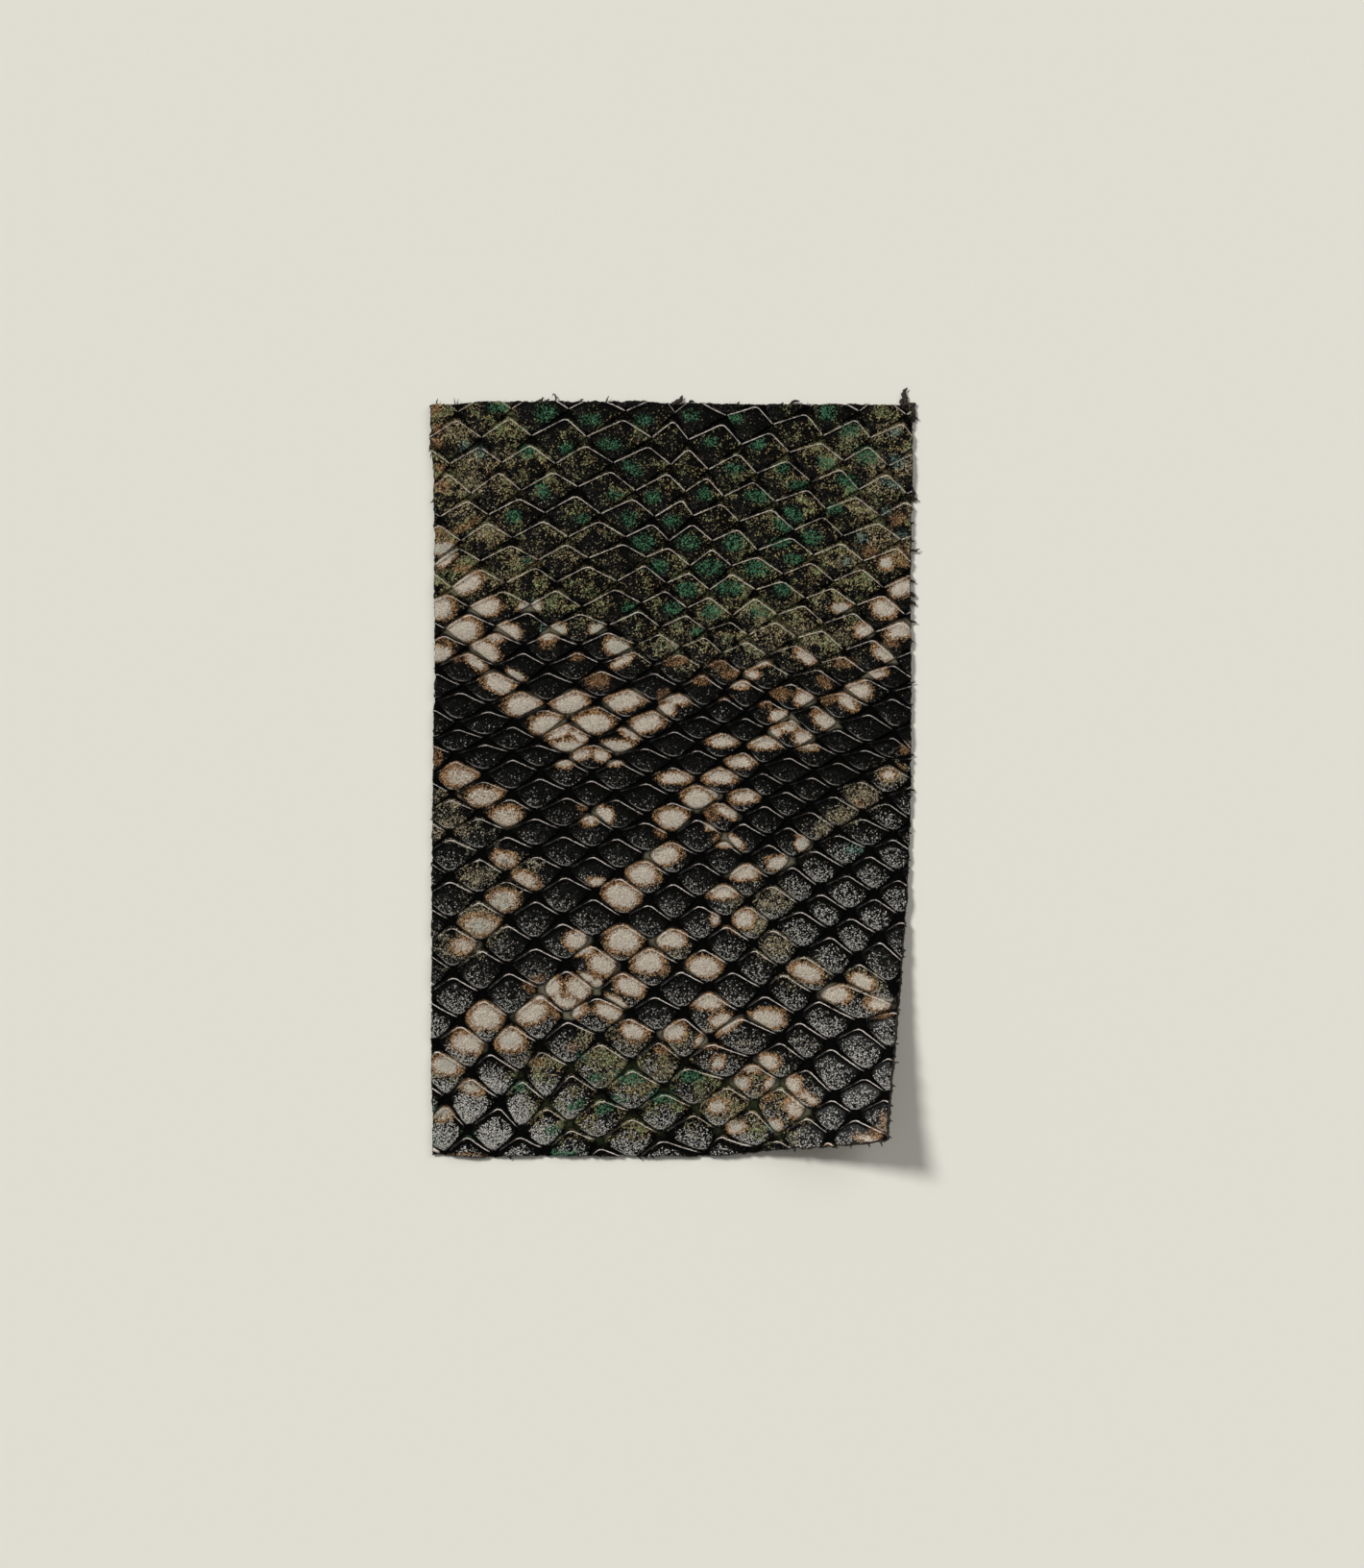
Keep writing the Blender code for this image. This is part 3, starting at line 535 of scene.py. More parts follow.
@dataclass
class CutEdge:
    """The hand-cut edge of the flat sheet, with its bends and small jags."""

    sides: tuple[CutSide, ...] = (
        CutSide(Side.LEFT,
                ((-50.9, 76.4), (-51.0, 68.8), (-50.2, 61.0), (-50.1, 20.0), (-50.7, -18.0),
                 (-50.8, -60.0), (-50.4, -79.2)),
                ((-50.9, 77.6), (-50.8, -80.4))),
        CutSide(Side.BOTTOM,
                ((-50.4, -79.2), (-42.0, -80.0), (-28.0, -79.6), (-6.0, -79.8), (11.0, -79.5),
                 (19.4, -78.6), (29.6, -78.0), (37.0, -77.8), (45.6, -76.9)),
                ((-51.5, -79.3), (-42.0, -80.0), (11.0, -79.6), (47.0, -76.8))),
        CutSide(Side.RIGHT,
                ((45.6, -76.9), (45.7, -65.4), (46.2, -55.3), (47.2, -39.3), (48.1, -25.2),
                 (48.9, -5.0), (48.8, 40.0), (49.2, 72.0), (48.9, 76.4)),
                ((45.6, -77.5), (47.45, -39.3), (49.0, -5.0), (49.3, 77.5))),
        CutSide(Side.TOP,
                ((48.9, 76.4), (38.0, 76.5), (15.0, 76.5), (-1.0, 76.8), (-8.0, 77.2),
                 (-40.0, 77.1), (-50.9, 76.4)),
                ((49.5, 76.4), (-8.0, 77.25), (-51.5, 77.15))),
    )
    weld: float = 0.03 * MM
    settled: float = 5.0 * MM
    jag_span: float = 0.1
    jag_step: float = 0.8 * MM
    jag_depth: float = 0.10 * MM
    jag_reach: float = 0.9 * MM
    steps_to_a_bay: int = 4
    bay_share: float = 0.4
    seed: int = 7

    def trim(self, thing: bpy.types.Object, inset: float) -> None:
        """Cut a flat net straight along every side.

        Args:
            thing: The net, in object mode.
            inset: How far inside the sides to cut, in metres.
        """
        with editing(thing):
            for cut in self.sides:
                for start, end in zip(cut.trim, cut.trim[1:]):
                    run = Vector(end) - Vector(start)
                    out = Vector((run.y, -run.x, 0.0)).normalized()
                    if out[cut.side.across] * cut.side.outward < 0.0:
                        out = -out
                    foot = Vector((*start, 0.0)) * MM - out * inset
                    bpy.ops.mesh.select_all(action="SELECT")
                    bpy.ops.mesh.bisect(plane_co=foot, plane_no=out, clear_outer=True, threshold=TOUCHING)
            bpy.ops.mesh.select_all(action="SELECT")
            bpy.ops.mesh.remove_doubles(threshold=self.weld)

    def jags(self, index: int, along: np.ndarray) -> np.ndarray:
        """Read one side's seeded jags: a ragged line through random depths, in wider bays.

        Args:
            index: The side's number.
            along: Places along the side, in metres.

        Returns:
            How far out the line is at each place, in metres.
        """
        rng = np.random.default_rng(self.seed + index)
        knots = np.arange(-self.jag_span, self.jag_span, self.jag_step)
        bays = knots[::self.steps_to_a_bay]
        coarse = np.interp(along, bays, rng.normal(0.0, self.jag_depth, len(bays)))
        fine = np.interp(along, knots, rng.normal(0.0, self.jag_depth, len(knots)))
        return self.bay_share * coarse + fine

    def settle(self, places: np.ndarray) -> np.ndarray:
        """Bring a sheet that is trimmed straight to its real edge.

        Args:
            places: Points of the sheet, one a row.

        Returns:
            The same points, moved across the sides that they are near.
        """
        moved = places.copy()
        for index, cut in enumerate(self.sides):
            depth = cut.depth(places)
            bend = cut.offset(cut.corners, places) - cut.offset(cut.trim, places)
            jag = self.jags(index, places[:, cut.side.along]) * cut.side.outward
            moved[:, cut.side.across] += bend * (1 - smooth_step(0.0, self.settled, depth))
            moved[:, cut.side.across] += jag * (1 - smooth_step(0.0, self.jag_reach, depth))
        return moved

    def way_out(self, places: np.ndarray) -> np.ndarray:
        """Find the way out of the sheet beside points on its edge.

        Args:
            places: Points on the edge, one a row.

        Returns:
            The ways across and along the sheet, as unit vectors.
        """
        nearest = np.argmin([cut.depth(places) for cut in self.sides], axis=0)
        ways = np.zeros((len(places), 2))
        for index, cut in enumerate(self.sides):
            ways[nearest == index, cut.side.across] = cut.side.outward
        return ways


@dataclass(frozen=True)
class Relief:
    """The raised scales, with heights and distances in mm.

    Each scale has a crest along its two upper sides, a lip along its two lower ones and a domed pad
    between them. Down the sheet the scales grow rounder, and then oval. A size that changes with
    that is given as what it is at the top, what rounder rows add and what oval rows add.
    """

    groove_top: float = 0.70
    crest_rise: float = 0.78
    pad_rise: float = 0.50
    heel_rise: float = 0.30
    dome_rise: float = 0.22
    dome_run: tuple[float, float] = (-0.3, 2.0)
    body_edge: tuple[float, float] = (-0.44, 0.12)
    body_inset: tuple[float, ...] = (0.15, 0.0, 0.06)
    body_lip: tuple[float, ...] = (0.0, -0.04, -0.05)
    body_rounding: tuple[float, ...] = (0.4, 1.1, 1.9)
    pad_inset: tuple[float, ...] = (-0.60, -0.25, 0.0)
    pad_lip: float = 0.22
    pad_rounding: tuple[float, ...] = (1.1, 0.0, 2.1)
    pad_growth: float = 0.12
    lean: tuple[float, ...] = (0.205, 0.0, -0.0615)
    crest_rounding: tuple[float, ...] = (0.9, 0.0, 0.3)
    crest_middle: float = 0.02
    crest_half: float = 0.135
    crest_foot: float = 0.42
    crest_end: float = 0.25
    taper_start: tuple[float, ...] = (0.5, -0.5, 0.0)
    taper_run: tuple[float, ...] = (0.7, 1.0, 0.7)
    sag: float = 0.18
    oval_sag: float = 0.6
    lip_rounding: float = 2.5
    lip_inset: float = 0.15
    lip_rise: float = 0.05
    dip: float = 0.07
    unevenness: float = 0.10
    round_rows: tuple[float, float] = (4.0, 14.0)
    oval_rows: tuple[float, float] = (12.0, 24.0)
    rows: float = 34.0
    far: float = 3.0
    seed: int = 3

    def measure(self, lattice: Lattice, net: np.ndarray) -> tuple[np.ndarray, dict[str, np.ndarray]]:
        """Work out the height of the sheet and the parts of the scales at points of the net.

        Args:
            lattice: The net of cells.
            net: Pairs of net numbers.

        Returns:
            The heights in metres, and by name the distances in mm from the parts of the scale and
            the shares of them that a point has.
        """
        top, right, left, _ = lattice.frame(net)
        index, shares = lattice.cell(net)
        first, second = shares.T
        upper_side, left_side = right - top, left - top
        area = np.abs(upper_side[:, 0] * left_side[:, 1] - upper_side[:, 1] * left_side[:, 0])
        over_upper = area / np.linalg.norm(upper_side, axis=1) / MM
        over_left = area / np.linalg.norm(left_side, axis=1) / MM
        row = net.sum(axis=1)
        growth = np.array((np.ones(len(row)), smooth_step(*self.round_rows, row),
                           smooth_step(*self.oval_rows, row)))

        sag = self.sag * growth[1] * (1 - (1 - self.oval_sag) * growth[2])
        lean = self.lean @ growth
        from_upper = (second - lean * (1 - first)) * over_upper - sag * np.sin(np.pi * first)
        from_left = (first - lean * (1 - second)) * over_left - sag * np.sin(np.pi * second)
        inside = soft_least(from_upper, from_left, self.crest_rounding @ growth)
        lower = soft_least((1 - second) * over_upper, (1 - first) * over_left,
                           self.lip_rounding) - self.lip_inset
        inner = soft_least(inside + self.body_inset @ growth, lower + self.body_lip @ growth,
                           self.body_rounding @ growth)
        depth = soft_least(inside + self.pad_inset @ growth, lower + self.pad_lip,
                           self.pad_rounding @ growth) + self.pad_growth * growth[2]
        corner = np.where(first > second, (1 - first) * over_left, (1 - second) * over_upper)
        taper = smooth_step(0.0, 1.0, (corner + self.taper_start @ growth) / (self.taper_run @ growth))

        tone = np.random.default_rng(self.seed).uniform(-1.0, 1.0, (2, *lattice.cells))
        uneven, tone = tone[:, index[:, 0], index[:, 1]]
        within = smooth_step(-self.crest_foot, 0.05, inside)
        body = smooth_step(*self.body_edge, inner)
        height = body * (self.pad_rise + (self.heel_rise - self.pad_rise)
                         * smooth_step(0.0, 1.0, 0.5 * (first + second)))
        height += body * self.dome_rise * smooth_step(*self.dome_run, depth)
        height += (bell(inside, self.crest_middle, self.crest_half) * (self.crest_rise - self.pad_rise)
                   * (self.crest_end + (1 - self.crest_end) * taper))
        height -= self.dip * bell(inside, 0.62, 0.26) * smooth_step(-0.30, 0.42, lower)
        height += self.lip_rise * bell(lower, 0.25, 0.2) * within * body
        height *= 1.0 + self.unevenness * uneven
        return (self.groove_top + height) * MM, {
            "inside": np.clip(inside, -self.far, self.far),
            "lower": np.clip(lower, -self.far, self.far),
            "inner": np.clip(inner, -self.far, self.far),
            "depth": np.clip(depth, -self.far, self.far),
            "taper": taper * smooth_step(-0.7, -0.35, inside) * (1 - smooth_step(0.5, 1.0, inside)),
            "right": smooth_step(-0.30, -0.04, first - second),
            "low": smooth_step(0.30, 1.05, 0.5 * (first + second) + 0.22 * (second - first)),
            "tone": tone,
            "row": row / self.rows,
        }


def select(*things: bpy.types.Object) -> None:
    """Select objects and nothing else, the last of them active.

    Args:
        things: The objects.
    """
    bpy.ops.object.select_all(action="DESELECT")
    for thing in things:
        thing.select_set(True)
    bpy.context.view_layer.objects.active = things[-1]


@contextmanager
def editing(thing: bpy.types.Object) -> Iterator[None]:
    """Open one object's mesh for editing, and close it again.

    Args:
        thing: The object.

    Yields:
        Nothing, while the mesh is open.
    """
    select(thing)
    bpy.ops.object.mode_set(mode="EDIT")
    yield
    bpy.ops.object.mode_set(mode="OBJECT")


def select_rim() -> None:
    """Select the open edges of the mesh that is being edited, and nothing else."""
    bpy.ops.mesh.select_mode(type="EDGE")
    bpy.ops.mesh.select_all(action="DESELECT")
    bpy.ops.mesh.select_non_manifold(use_wire=False, use_multi_face=False, use_non_contiguous=False,
                                     use_verts=False)


def read_triples(items: bpy.types.bpy_prop_collection, name: str) -> np.ndarray:
    """Read three numbers from each item of a mesh.

    Args:
        items: The mesh's points, or the data of one of its attributes.
        name: Which of their values to read.

    Returns:
        The numbers, one item a row.
    """
    flat = np.empty(3 * len(items))
    items.foreach_get(name, flat)
    return flat.reshape(-1, 3)


def read_places(mesh: bpy.types.Mesh) -> np.ndarray:
    """Read the places of a mesh's points, one a row."""
    return read_triples(mesh.vertices, "co")


def read_net(mesh: bpy.types.Mesh) -> np.ndarray:
    """Read the net numbers and the part kept on a mesh's points, one a row."""
    return read_triples(mesh.attributes["net"].data, "vector")


def write_places(mesh: bpy.types.Mesh, places: np.ndarray) -> None:
    """Move a mesh's points to new places."""
    mesh.vertices.foreach_set("co", places.ravel())
    mesh.update()


def write_share(mesh: bpy.types.Mesh, name: str, values: np.ndarray) -> None:
    """Keep a number on each point of a mesh under a name."""
    mesh.attributes.new(name, "FLOAT", "POINT").data.foreach_set("value", values.astype(np.float32))


class Part(Enum):
    """The parts of the sheet's skin, as they are numbered on its points."""

    SCALES = 0
    CUT = 1
    FLESH = 2


@dataclass
class SkinSheet:
    """The whole sheet: scales above, cut edge round it, flesh side below.

    A level of the cut edge is its share of the height above and how far out it stands, in mm.
    """

    lattice: Lattice
    relief: Relief
    edge: CutEdge
    curl: Curl
    margin: tuple[float, float] = (54.0 * MM, 83.0 * MM)
    fine_shares: tuple[float, ...] = (0.0, 0.035, 0.07, 0.10, 0.135, 0.17, 0.22, 0.30, 0.40, 0.52,
                                      0.64, 0.75, 0.83, 0.89, 0.94, 0.98)
    coarse_shares: tuple[float, ...] = (0.0, 0.25, 0.5, 0.75)
    flesh_inset: float = 1.3 * MM
    flesh_flat: tuple[float, float] = (1.5 * MM, 3.0 * MM)
    hollow_share: float = 0.25
    cut_levels: tuple[tuple[float, float], ...] = ((0.82, 0.03), (0.62, 0.10), (0.5, -0.04), (0.0, 0.05))
    cut_roughness: float = 0.035
    seed: int = 11

    def lay_net(self, name: str, shares: Sequence[float], inset: float) -> bpy.types.Object:
        """Lay a flat net of quads that follows the scales, trimmed straight at the sides.

        Args:
            name: What to call it.
            shares: Where its lines cross a cell.
            inset: How far inside the sides it ends, in metres.

        Returns:
            The net, in object mode, each point keeping its net numbers.
        """
        steps = len(shares)
        counts = np.array(self.lattice.cells) * steps
        bpy.ops.mesh.primitive_grid_add(x_subdivisions=int(counts[0]), y_subdivisions=int(counts[1]),
                                        size=2.0)
        thing = bpy.context.object
        thing.name = name
        mesh = thing.data
        index = np.rint((read_places(mesh)[:, :2] + 1.0) / 2.0 * counts).astype(int)
        net = index // steps + np.array(shares)[index % steps] + self.lattice.first_cell
        spots = self.lattice.place(net)
        beyond = ~(np.abs(spots) < self.margin).all(axis=1)
        spots[beyond] = 0.0
        level = np.zeros(len(spots))
        write_places(mesh, np.column_stack((spots, level)))
        kept = mesh.attributes.new("net", "FLOAT_VECTOR", "POINT")
        kept.data.foreach_set("vector", np.column_stack((net, level)).ravel())
        for items in (mesh.polygons, mesh.edges):
            items.foreach_set("select", np.zeros(len(items), dtype=bool))
        mesh.vertices.foreach_set("select", beyond)
        with editing(thing):
            bpy.ops.mesh.select_mode(type="VERT")
            bpy.ops.mesh.delete(type="VERT")
        self.edge.trim(thing, inset)
        return thing

    def mark_part(self, mesh: bpy.types.Mesh, flags: np.ndarray, part: Part) -> None:
        """Number some points of a mesh as one part of the sheet.

        Args:
            mesh: The mesh.
            flags: Which of its points are meant.
            part: The part.
        """
        net = read_net(mesh)
        net[flags, 2] = part.value
        mesh.attributes["net"].data.foreach_set("vector", net.ravel())

    def raise_scales(self, mesh: bpy.types.Mesh) -> None:
        """Bring a trimmed net to its edge and raise its scales.

        Args:
            mesh: The net's mesh.
        """
        places = self.edge.settle(read_places(mesh))
        places[:, 2] = self.relief.measure(self.lattice, read_net(mesh)[:, :2])[0]
        write_places(mesh, places)

    def drop_edge(self, thing: bpy.types.Object) -> None:
        """Carry the rim of the scaled side down to the flesh side as a torn, fibrous cut.

        Args:
            thing: The scaled side.
        """
        rng = np.random.default_rng(self.seed)
        for share, out in self.cut_levels:
            with editing(thing):
                select_rim()
                bpy.ops.mesh.extrude_edges_indiv()
            ring = np.empty(len(thing.data.vertices), dtype=bool)
            thing.data.vertices.foreach_get("select", ring)
            places = read_places(thing.data)
            ways = self.edge.way_out(places[ring])
            spread = (out + rng.normal(0.0, self.cut_roughness, len(ways)))[:, None] * MM
            places[ring, :2] += ways * spread
            places[ring, 2] *= share
            write_places(thing.data, places)
            self.mark_part(thing.data, ring, Part.CUT)

    def lay_flesh(self) -> bpy.types.Object:
        """Lay the flesh side: a coarse net with the scales faintly hollowed into it.

        Returns:
            The flesh side, facing down.
        """
        thing = self.lay_net("flesh_side", self.coarse_shares, self.flesh_inset)
        mesh = thing.data
        places = read_places(mesh)
        height = self.relief.measure(self.lattice, read_net(mesh)[:, :2])[0]
        depth = np.min([cut.depth(places) for cut in self.edge.sides], axis=0)
        hollow = np.maximum(height - self.relief.groove_top * MM, 0.0) * self.hollow_share
        places[:, 2] = hollow * smooth_step(*self.flesh_flat, depth)
        write_places(mesh, places)
        self.mark_part(mesh, np.ones(len(places), dtype=bool), Part.FLESH)
        with editing(thing):
            bpy.ops.mesh.select_all(action="SELECT")
            bpy.ops.mesh.flip_normals()
        return thing

    def close(self, scaled: bpy.types.Object, flesh: bpy.types.Object) -> None:
        """Join the flesh side to the scaled side and fill the strip between them.

        Args:
            scaled: The scaled side with its cut edge, which becomes the whole sheet.
            flesh: The flesh side.
        """
        select(flesh, scaled)
        bpy.ops.object.join()
        with editing(scaled):
            select_rim()
            bpy.ops.mesh.fill(use_beauty=True)
            bpy.ops.mesh.select_all(action="SELECT")
            bpy.ops.mesh.normals_make_consistent(inside=False)

    def build(self) -> bpy.types.Object:
        """Model the sheet and curl its corner.

        Returns:
            The sheet, its points still keeping their net numbers.
        """
        sheet = self.lay_net("skin", self.fine_shares, 0.0)
        self.raise_scales(sheet.data)
        self.drop_edge(sheet)
        self.close(sheet, self.lay_flesh())
        write_places(sheet.data, self.curl.lift(read_places(sheet.data)))
        sheet.data.polygons.foreach_set("use_smooth", np.ones(len(sheet.data.polygons), dtype=bool))
        LOG.info("sheet: %d points, %d faces", len(sheet.data.vertices), len(sheet.data.polygons))
        return sheet


@dataclass
class Fringe:
    """The torn strands and fine fibres that stand out of the cut edge.

    They are modelled round, higher than they are to be, and then pressed flat.
    """

    edge: CutEdge
    curl: Curl
    level: float = 0.50 * MM
    level_spread: float = 0.4 * MM
    lowest: float = 0.02 * MM
    flatness: float = 0.45
    steps_to_a_point: int = 3
    waviness: float = 0.25
    blunting: float = 0.14 * MM
    thinning: float = 0.85
    fibre_gaps: tuple[float, ...] = (3.4 * MM, 2.4 * MM, 2.0 * MM, 2.4 * MM)
    gap_range: tuple[float, float] = (0.3, 1.7)
    fibre_lean: float = 1.1
    fibre_reach: float = 0.38 * MM
    reach_range: tuple[float, float] = (0.4, 1.5)
    fibre_bend: float = 0.3
    fibre_half: float = 0.05 * MM
    fibre_root: float = 0.35 * MM
    fibre_levels: tuple[float, float] = (0.15, 0.6)
    lowest_tip: float = 0.2 * MM
    sides: int = 1
    seed: int = 23

    def strand(self, curve: bpy.types.Curve, points: np.ndarray, half: float) -> None:
        """Add one strand that thins out towards its tip.

        Args:
            curve: The curve that holds the strands.
            points: Its points from root to tip, on the flat sheet.
            half: Half of its width at the root, in metres.
        """
        line = curve.splines.new("POLY")
        line.points.add(len(points) - 1)
        for index, (point, place) in enumerate(zip(line.points, points)):
            share = index / (len(points) - 1)
            point.co = (*place, 1.0)
            point.radius = half * (1.0 - self.thinning * share ** (1.0 + half / self.blunting))

    def add_strands(self, curve: bpy.types.Curve, rng: random.Random) -> None:
        """Add the strands that can be seen one by one.

        Args:
            curve: The curve that holds the strands.
            rng: The random numbers.
        """
        for half, *numbers in STRANDS:
            seen = np.array(numbers, float).reshape(-1, 2)
            spots = self.curl.flatten(np.array([at_pixel(x, y) for x, y in seen]))
            steps = np.linspace(0.0, len(spots) - 1.0, self.steps_to_a_point * len(spots))
            path = np.column_stack([np.interp(steps, np.arange(len(spots)), spots[:, axis])
                                    for axis in (0, 1)])
            height = np.full(len(path), self.level / self.flatness + rng.uniform(0.0, self.level_spread))
            wave = np.array([rng.gauss(0.0, self.waviness) for _ in path]) * half * PIXEL
            wave[0] = 0.0
            self.strand(curve, np.column_stack((path[:, 0] + wave, path[:, 1] - wave, height)),
                        half * PIXEL)

    def add_fibres(self, curve: bpy.types.Curve, rng: random.Random) -> None:
        """Add the fine fibres all along the cut.

        Args:
            curve: The curve that holds the strands.
            rng: The random numbers.
        """
        for cut, gap in zip(self.edge.sides, self.fibre_gaps):
            spots = np.array(cut.corners) * MM
            along, last = spots[:, cut.side.along].min(), spots[:, cut.side.along].max()
            while along < last:
                along += rng.uniform(*self.gap_range) * gap
                root = np.zeros((1, 3))
                root[0, cut.side.along] = min(along, last)
                root[0, cut.side.across] = cut.offset(cut.corners, root[:, :2])[0]
                way = np.zeros(3)
                way[cut.side.across] = cut.side.outward
                way[cut.side.along] = rng.uniform(-self.fibre_lean, self.fibre_lean)
                reach = self.fibre_reach * rng.uniform(*self.reach_range)
                bend = np.array([rng.gauss(0.0, self.fibre_bend) for _ in range(3)]) * reach
                start = root[0] - self.fibre_root * way
                start[2] = (self.fibre_levels[0] + self.fibre_levels[1] * rng.random()) * MM / self.flatness
                middle = start + way * (self.fibre_root + 0.5 * reach)
                tip = start + way * (self.fibre_root + reach) + bend
                tip[2] = max(tip[2], self.lowest_tip)
                self.strand(curve, np.array([start, middle, tip]), self.fibre_half)

    def build(self) -> bpy.types.Object:
        """Model every strand as one mesh and curl it with the sheet.

        Returns:
            The fringe.
        """
        rng = random.Random(self.seed)
        curve = bpy.data.curves.new("fringe", "CURVE")
        curve.dimensions = "3D"
        curve.bevel_depth = 1.0
        curve.bevel_resolution = self.sides
        curve.use_fill_caps = True
        thing = bpy.data.objects.new("fringe", curve)
        bpy.context.collection.objects.link(thing)
        self.add_strands(curve, rng)
        self.add_fibres(curve, rng)
        select(thing)
        bpy.ops.object.convert(target="MESH")
        places = read_places(thing.data)
        places[:, 2] = np.maximum(places[:, 2] * self.flatness, self.lowest)
        write_places(thing.data, self.curl.lift(places))
        with editing(thing):
            bpy.ops.mesh.select_all(action="SELECT")
            bpy.ops.mesh.remove_doubles(threshold=TOUCHING)
            bpy.ops.mesh.normals_make_consistent(inside=False)
            bpy.ops.mesh.faces_shade_smooth()
        LOG.info("fringe: %d faces", len(thing.data.polygons))
        return thing


@dataclass(frozen=True)
class Markings:
    """The markings of the skin, and where the painted sheen is thickest, kept on its points by kind with the
    parts of its scales.
    """

    lattice: Lattice
    relief: Relief
    squareness: float = 2.6
    fade: tuple[float, float] = (0.45, 1.55)
    pale_spread: float = 1.08
    halo_spread: float = 1.30

    def strength(self, patches: Sequence[tuple[float, ...]], seen: np.ndarray, spread: float = 1.0,
                 cells: np.ndarray | None = None) -> np.ndarray:
        """Lay one kind of patch on places seen from above.

        Args:
            patches: The patches.
            seen: Places in pixels.
            spread: How much wider than given the patches are laid.
            cells: The places' cells, where a patch stops at the edge of its own scale.

        Returns:
            The strength at each place: 1 in the middle of a patch, half at its rim, 0 outside.
        """
        total = np.zeros(len(seen))
        for x, y, half_width, half_height, *rest in patches:
            lean, most = (*rest, *USUAL_LEAN_AND_STRENGTH[len(rest):])
            turn = math.radians(lean)
            dx, dy = seen[:, 0] - x, y - seen[:, 1]
            along = (dx * math.cos(turn) + dy * math.sin(turn)) / half_width / spread
            across = (dy * math.cos(turn) - dx * math.sin(turn)) / half_height / spread
            reach = np.abs(along) ** self.squareness + np.abs(across) ** self.squareness
            value = 1.0 - smooth_step(*self.fade, reach ** (1.0 / self.squareness))
            if cells is not None:
                home = cells[np.argmin(dx * dx + dy * dy)]
                value = np.where((cells == home).all(axis=1), value, 0.0)
            total = np.maximum(total, value * most)
        return total

    def lay(self, mesh: bpy.types.Mesh) -> None:
        """Keep the scales' parts and the markings on a mesh, and give its faces their finishes.

        Args:
            mesh: The curled sheet's mesh.
        """
        net = read_net(mesh)
        for name, values in self.relief.measure(self.lattice, net[:, :2])[1].items():
            write_share(mesh, name, values)
        places = read_places(mesh)
        seen = np.column_stack((places[:, 0] / PIXEL + PIXEL_OF_ORIGIN[0],
                                PIXEL_OF_ORIGIN[1] - places[:, 1] / PIXEL))
        cells, _ = self.lattice.cell(net[:, :2])
        for mark, patches in PATCHES.items():
            limits = (self.pale_spread, cells) if mark is Mark.PALE else ()
            write_share(mesh, mark.value, self.strength(patches, seen, *limits))
        write_share(mesh, "halo", self.strength(PATCHES[Mark.PALE], seen, self.halo_spread))
        corners = np.empty(len(mesh.loops), dtype=np.int32)
        mesh.loops.foreach_get("vertex_index", corners)
        starts = np.empty(len(mesh.polygons), dtype=np.int32)
        mesh.polygons.foreach_get("loop_start", starts)
        part = np.maximum.reduceat(np.rint(net[corners, 2]).astype(np.int32), starts)
        mesh.polygons.foreach_set("material_index", part)


class Value:
    """A number or colour that a finish works out at each point of the surface."""

    def __init__(self, graph: Graph, socket: bpy.types.NodeSocket) -> None:
        """Wrap one output socket of a graph's node."""
        self.graph = graph
        self.socket = socket

    def __add__(self, other: Value | float) -> Value:
        """Return the sum."""
        return self.graph.maths("ADD", self, other)

    def __radd__(self, other: float) -> Value:
        """Return the sum with a plain number first."""
        return self.graph.maths("ADD", other, self)

    def __sub__(self, other: Value | float) -> Value:
        """Return the difference."""
        return self.graph.maths("SUBTRACT", self, other)

    def __rsub__(self, other: float) -> Value:
        """Return the difference from a plain number."""
        return self.graph.maths("SUBTRACT", other, self)

    def __mul__(self, other: Value | float) -> Value:
        """Return the product."""
        return self.graph.maths("MULTIPLY", self, other)

    def __rmul__(self, other: float) -> Value:
        """Return the product with a plain number first."""
        return self.graph.maths("MULTIPLY", other, self)

    def __abs__(self) -> Value:
        """Return the size without its sign."""
        return self.graph.maths("ABSOLUTE", self)


Input = Value | float | Sequence[float]


